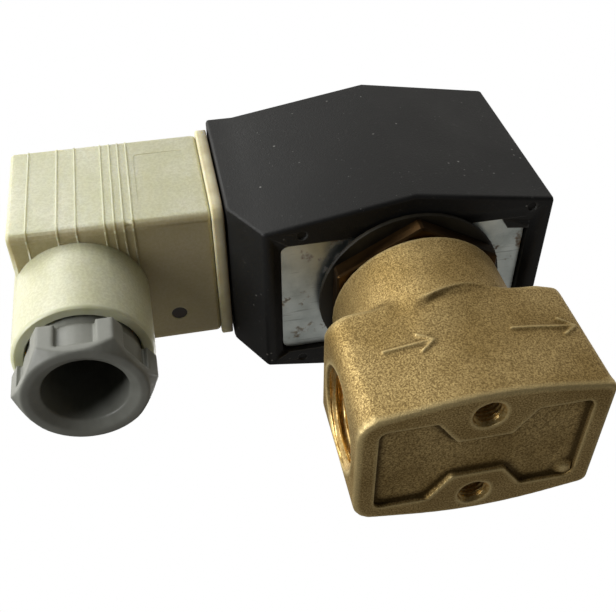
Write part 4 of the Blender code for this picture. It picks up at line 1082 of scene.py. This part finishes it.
def raise_marks(piece):
    """Raise the arrows on the long sides and the lug on the pocket's roof."""
    points, normals, _ = points_of(piece)
    x, y, z = from_axis(points)
    on_side = (np.abs(normals[:, 1]) > 0.6) & (np.abs(y) > SIDE_FROM)
    lift = arrow_height(x, z) * on_side
    pocket_roof = (normals[:, 2] < -0.7) * (z > 0.5) * (z < 1.6)
    from_lug = np.hypot(x - POCKET_LUG[0], y - POCKET_LUG[1])
    lug = fade(from_lug, 0.4, 2.2) * POCKET_LUG_HEIGHT * pocket_roof
    points = points + normals * (lift * MM)[:, None]
    points[:, 2] -= lug * MM
    put_back(piece, points)


def forge_body():
    piece = copy_of("valve_body", "forged_body")
    ream_holes(piece)
    remesh(piece, FORGING_VOXEL)
    work_the_block(piece)
    raise_marks(piece)
    mark_hollows(piece)
    print("forged body:", len(piece.data.polygons), "faces")
    return shade(piece, "forged_brass", "body", "valve_body")


forge_body()

# %% [markdown]
# ## Threads
#
# Taps cut the ports and mounting holes after forging. Their crests are bright because no blasting reached
# them. A boolean with a helix is slow and can fail; here each thread is one closed sleeve whose inner wall
# follows the helix, set into a plain hole. The stud on top has the same sleeve turned inside out.

# %% Thread sleeve
ROWS_PER_PITCH = 10
TOOTH_SLOPE = 1.3                        # steeper than 1, so that crests and roots end flat
TOOTH_FLAT = 0.15
print(ROWS_PER_PITCH, "rows of points for each turn of a thread")


def thread(name, body, slot, crest, root, back, length, pitch, place, mouth=0.0, sides=72):
    """Closed threaded sleeve. mouth is the radius of the lead-in at the open end of an inner thread."""
    rows = math.ceil(length / pitch * ROWS_PER_PITCH)
    bm = bmesh.new()
    worked, plain = [], []
    for row in range(rows + 1):
        along = length * row / rows
        ring = []
        for side in range(sides):
            phase = (along / pitch - side / sides) % 1.0
            tooth = min(max(abs(2.0 * phase - 1.0) * TOOTH_SLOPE - TOOTH_FLAT, 0.0), 1.0)
            radius = crest + (root - crest) * tooth
            radius = max(radius, mouth - along) if mouth else radius
            angle = math.tau * side / sides
            ring.append(bm.verts.new((radius * math.cos(angle), radius * math.sin(angle), along)))
        worked.append(ring)
    turns = [math.tau * side / sides for side in range(sides)]
    for along in (0.0, length):
        plain.append([bm.verts.new((back * math.cos(a), back * math.sin(a), along)) for a in turns])
    loops = worked + plain[::-1]
    for ring, after in zip(loops, loops[1:] + loops[:1]):
        for side in range(sides):
            other = (side + 1) % sides
            bm.faces.new((ring[side], ring[other], after[other], after[side]))
    bmesh.ops.transform(bm, verts=bm.verts, matrix=place)
    return shade(new_piece(name, bm), slot, body, angle=50)


# %% Cut the threads
STUD_CREST = 4.12 * MM
STUD_ROOT = 3.86 * MM
STUD_CORE = 3.5 * MM
STUD_PITCH = 1.25 * MM
STUD_START = 5.0 * MM                    # below the top of the nut
STUD_POINT = 0.7 * MM                    # plain end above the thread


def cut_threads():
    for name, side, turn in (("inlet_thread", -1, TO_PLUS_X), ("outlet_thread", 1, TO_MINUS_X)):
        place = at(AXIS + side * (HALF_BLOCK - 0.15 * MM), 0.0, PORT_HEIGHT) @ turn
        thread(name, "body", "cut_thread", PIPE_CREST, PIPE_ROOT, PIPE_ROOT + 0.35 * MM,
               PORT_DEPTH - 0.3 * MM, PIPE_PITCH, place, mouth=PIPE_ROOT + 0.2 * MM)
    for name, side in (("front_screw_thread", -1), ("back_screw_thread", 1)):
        thread(name, "body", "cut_thread", SCREW_CREST, SCREW_ROOT, SCREW_ROOT + 0.3 * MM,
               SCREW_DEPTH - 0.2 * MM, SCREW_PITCH, at(AXIS, side * MOUNT_SPACING / 2, 0.1 * MM),
               mouth=SCREW_ROOT + 0.25 * MM, sides=40)
    stud_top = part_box("fixed_core")[1].z
    nut_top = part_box("top_nut")[1].z
    start = nut_top - STUD_START
    thread("stud_thread", "body", "soft_iron", STUD_CREST, STUD_ROOT, STUD_CORE,
           stud_top - STUD_POINT - start, STUD_PITCH, at(AXIS, 0.0, start), sides=48)
    print("threads: pitch", PIPE_PITCH / MM, "mm in the ports,", SCREW_PITCH / MM, "mm in the mounting holes")


cut_threads()

# %% [markdown]
# ## Plug housing
#
# The housing is moulded in one piece with the gland boss. Fine ribs run round it where fingers grip, and a
# shallow panel is left for a label. Close to the gasket, a dark pip fills a moulding hole underneath. Ribs
# this fine could be a bump in the material, but then the outline would stay straight and the mesh would lack
# them, so they are real bands, joined on with a boolean.

# %% Sizes of the housing
HOUSE_LOW, HOUSE_HIGH = (Vector(corner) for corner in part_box("connector_housing"))
HOUSE_TOP = HOUSE_HIGH.z
HOUSE_HALF = HOUSE_HIGH.y
HOUSE_BOTTOM = 49.8 * MM
HOUSE_EDGE = 1.6 * MM
RIB_PLACES = (-66.7, -61.4, -58.1, -53.2, -51.5, -49.9, -48.3)
RIB_WIDTH = 0.26 * MM
RIB_PROUD = 0.13 * MM
RIB_ROOT = 0.5 * MM                      # how deep a rib reaches into the wall, so that it joins
PANEL_X = (-47.0 * MM, -37.5 * MM)       # from the valve axis, like the ribs and the pip
PANEL_Z = (55.0 * MM, 71.5 * MM)
PANEL_CORNER = 1.0 * MM
PANEL_DEPTH = 0.05 * MM
PIP_PLACE = (-42.3 * MM, 8.0 * MM)
PIP_RADIUS = 1.5 * MM
PIP_HOLE = 3.0 * MM                      # deep enough to go through the wall
BOSS_END = HOUSE_LOW.z
BOSS_RIM = 1.6 * MM
BOSS_BORE = 9.8 * MM                     # clears the ribs out of the cable entry
print("housing", round(HOUSE_HALF * 2 / MM, 1), "mm wide with", len(RIB_PLACES), "ribs")

# %% Ribs and thin places


def rib(x):
    """A closed band round the housing's section at x."""
    bm = bmesh.new()
    loops = []
    for grow, along in ((RIB_PROUD, -RIB_WIDTH / 2), (RIB_PROUD, RIB_WIDTH / 2),
                        (-RIB_ROOT, RIB_WIDTH / 2), (-RIB_ROOT, -RIB_WIDTH / 2)):
        outline = round_rectangle(-HOUSE_HALF - grow, HOUSE_HALF + grow, HOUSE_BOTTOM - grow,
                                  HOUSE_TOP + grow, HOUSE_EDGE + grow)
        loops.append([bm.verts.new((x + along, py, pz)) for py, pz in outline])
    count = len(loops[0])
    for loop, after in zip(loops, loops[1:] + loops[:1]):
        for i in range(count):
            j = (i + 1) % count
            bm.faces.new((loop[i], loop[j], after[j], after[i]))
    return new_piece("tool", bm)


def is_thin(centre):
    """A rib stands outside the housing's section, and the rim is the last bit of the boss."""
    if centre.z < BOSS_END + BOSS_RIM:
        return True
    above_boss = centre.z > HOUSE_BOTTOM - RIB_PROUD
    proud = max(abs(centre.y) - HOUSE_HALF, centre.z - HOUSE_TOP, HOUSE_BOTTOM - centre.z)
    return above_boss and proud > 0.02 * MM


def is_crisp(face):
    """Ribs and the flat underside, where cuts and ribs end in the middle of a face."""
    level = max(abs(v) for v in face.normal) > 0.9999
    underside = abs(face.center.z - HOUSE_BOTTOM) < 0.01 * MM
    return level and (underside or is_thin(face.center))


# %% Mould the housing


def mould_housing():
    piece = copy_of("connector_housing", "plug_housing")
    outline = round_rectangle(AXIS + PANEL_X[0], AXIS + PANEL_X[1], *PANEL_Z, PANEL_CORNER)
    front = at(0.0, -HOUSE_HALF, 0.0) @ Matrix.Rotation(math.pi / 2, 4, "X")
    panel = plate(outline, -PANEL_DEPTH, 3.0 * MM, front)
    pip_place = at(AXIS + PIP_PLACE[0], PIP_PLACE[1], 0.0)
    pip_hole = cylinder(PIP_RADIUS, HOUSE_BOTTOM - MM, HOUSE_BOTTOM + PIP_HOLE, pip_place, 32)
    carve(piece, [panel, pip_hole])
    carve(piece, [rib(AXIS + x * MM) for x in RIB_PLACES], "UNION")
    carve(piece, [cylinder(BOSS_BORE, HOUSE_BOTTOM - MM, HOUSE_BOTTOM + MM, at(GLAND_X, 0.0, 0.0), 64)])
    print("plug housing:", len(piece.data.polygons), "faces")
    shade(piece, "clear_polyamide", "connector", "connector_housing", angle=38, crisp=is_crisp)
    piece.data.materials.append(FINISHES["thin_polyamide"])
    for face in piece.data.polygons:
        face.material_index = len(piece.data.materials) - 1 if is_thin(face.center) else 0
    pip = cylinder(PIP_RADIUS - 0.05 * MM, HOUSE_BOTTOM + 0.15 * MM, HOUSE_BOTTOM + 1.7 * MM, pip_place, 32)
    pip.name = "moulding_pip"
    shade(pip, "terminal_black", "connector", angle=38)


mould_housing()

# %% [markdown]
# ## Profile gasket
#
# The soft gasket is squeezed against the housing when the plug is screwed on, so no gap shows between them. A
# cloth or soft-body run could squeeze it, but all that shows is its back face moved out to the housing, so
# those points are moved and the skin is then made even and relaxed.

# %% Squeeze the gasket
GASKET_SQUEEZE = 0.3 * MM
GASKET_BACK = 0.6 * MM                   # points this close to the back face move with it
GASKET_VOXEL = 0.2                       # mm


def squeeze_gasket():
    piece = copy_of("connector_gasket", "squeezed_gasket")
    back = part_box("connector_gasket")[0].x
    for vertex in piece.data.vertices:
        if vertex.co.x < back + GASKET_BACK:
            vertex.co.x -= GASKET_SQUEEZE
    remesh(piece, GASKET_VOXEL)
    points, _, edges = points_of(piece)
    put_back(piece, relax(points, edges, np.ones(len(points)), 4))
    print("gasket:", len(piece.data.polygons), "faces")
    shade(piece, "clear_silicone", "connector", "connector_gasket")


squeeze_gasket()

# %% [markdown]
# ## Gland nut
#
# A moulded hexagon nut: full lugs at its corners, a round waist between them and a cone at its free end.
# Moulded edges have a small radius. Bevels would have to be fitted where six lugs run into a cone, so the
# copy is remeshed finely and relaxed.

# %% Mould the gland nut
NUT_VOXEL = 0.22                         # mm


def mould_nut():
    piece = copy_of("gland_nut", "moulded_gland_nut")
    remesh(piece, NUT_VOXEL)
    points, _, edges = points_of(piece)
    put_back(piece, relax(points, edges, np.ones(len(points)), 3))
    print("gland nut:", len(piece.data.polygons), "faces")
    shade(piece, "grey_polyamide", "gland_nut", "gland_nut")


mould_nut()

# %% [markdown]
# ## Coil moulding
#
# The coil's shell is cast round the steel yoke. Ejector pins leave round marks on its underside, and a small
# corner lug holds the yoke plate in its frame. Its faces are flat, so booleans are enough.

# %% Mould the coil shell
YOKE_LUG = ((16.2, -13.4), (17.9, -10.7), (22.4, -10.1), (22.4, -13.4))     # mm from the valve axis
EJECTORS = ((21.9, -15.0), (-20.0, -15.0), (-20.0, 15.0), (21.9, 15.0))
EJECTOR_RADIUS = 0.9 * MM
EJECTOR_DEPTH = 0.35 * MM
COIL_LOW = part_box("coil_shell")[0].z


def mould_coil():
    piece = copy_of("coil_shell", "coil_moulding")
    lug = plate([(AXIS + x * MM, y * MM) for x, y in YOKE_LUG], COIL_LOW + 0.1 * MM, COIL_LOW + 1.0 * MM)
    carve(piece, [lug], "UNION")
    marks = [cylinder(EJECTOR_RADIUS, COIL_LOW - MM, COIL_LOW + EJECTOR_DEPTH,
                      at(AXIS + x * MM, y * MM, 0.0), 24) for x, y in EJECTORS]
    carve(piece, marks)
    print("coil moulding:", len(piece.data.polygons), "faces")
    shade(piece, "black_polyamide", "coil", "coil_shell", angle=32)


mould_coil()

# %% [markdown]
# ## Plunger spring
#
# A fine stainless spring pushes the plunger down onto its seat. It stays put at the fixed core and shortens
# as the plunger lifts. A curve with a bevel would draw it too; rings of points set along the helix give a
# closed mesh with end turns that lie closer together, as a ground spring's do.

# %% Wind the spring
SPRING_LOW, SPRING_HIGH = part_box("plunger_spring")
WIRE = 0.35 * MM
SPRING_TURNS = 6
SPRING_STEPS = 40
WIRE_SIDES = 12
END_TURNS = 0.9                          # 0 spaces the turns evenly, 1 closes the end turns fully


def wind_spring():
    radius = (SPRING_HIGH.x - SPRING_LOW.x) / 2 - WIRE
    low, high = SPRING_LOW.z + WIRE, SPRING_HIGH.z - WIRE
    bm = bmesh.new()
    rings = []
    for i in range(SPRING_TURNS * SPRING_STEPS + 1):
        share = i / (SPRING_TURNS * SPRING_STEPS)
        angle = math.tau * SPRING_TURNS * share
        outward = Vector((math.cos(angle), math.sin(angle), 0.0))
        eased = share - END_TURNS * math.sin(math.tau * share) / math.tau
        centre = Vector((AXIS, 0.0, low + (high - low) * eased)) + outward * radius
        ring = []
        for k in range(WIRE_SIDES):
            around = math.tau * k / WIRE_SIDES
            offset = outward * math.cos(around) + Vector((0.0, 0.0, math.sin(around)))
            ring.append(bm.verts.new(centre + offset * WIRE))
        rings.append(ring)
    for ring, after in zip(rings, rings[1:]):
        for k in range(WIRE_SIDES):
            other = (k + 1) % WIRE_SIDES
            bm.faces.new((ring[k], ring[other], after[other], after[k]))
    bm.faces.new(rings[0])
    bm.faces.new(rings[-1])
    spring = shade(new_piece("wound_spring", bm), "spring_steel", "body", "plunger_spring", angle=60)
    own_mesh(spring)


wind_spring()
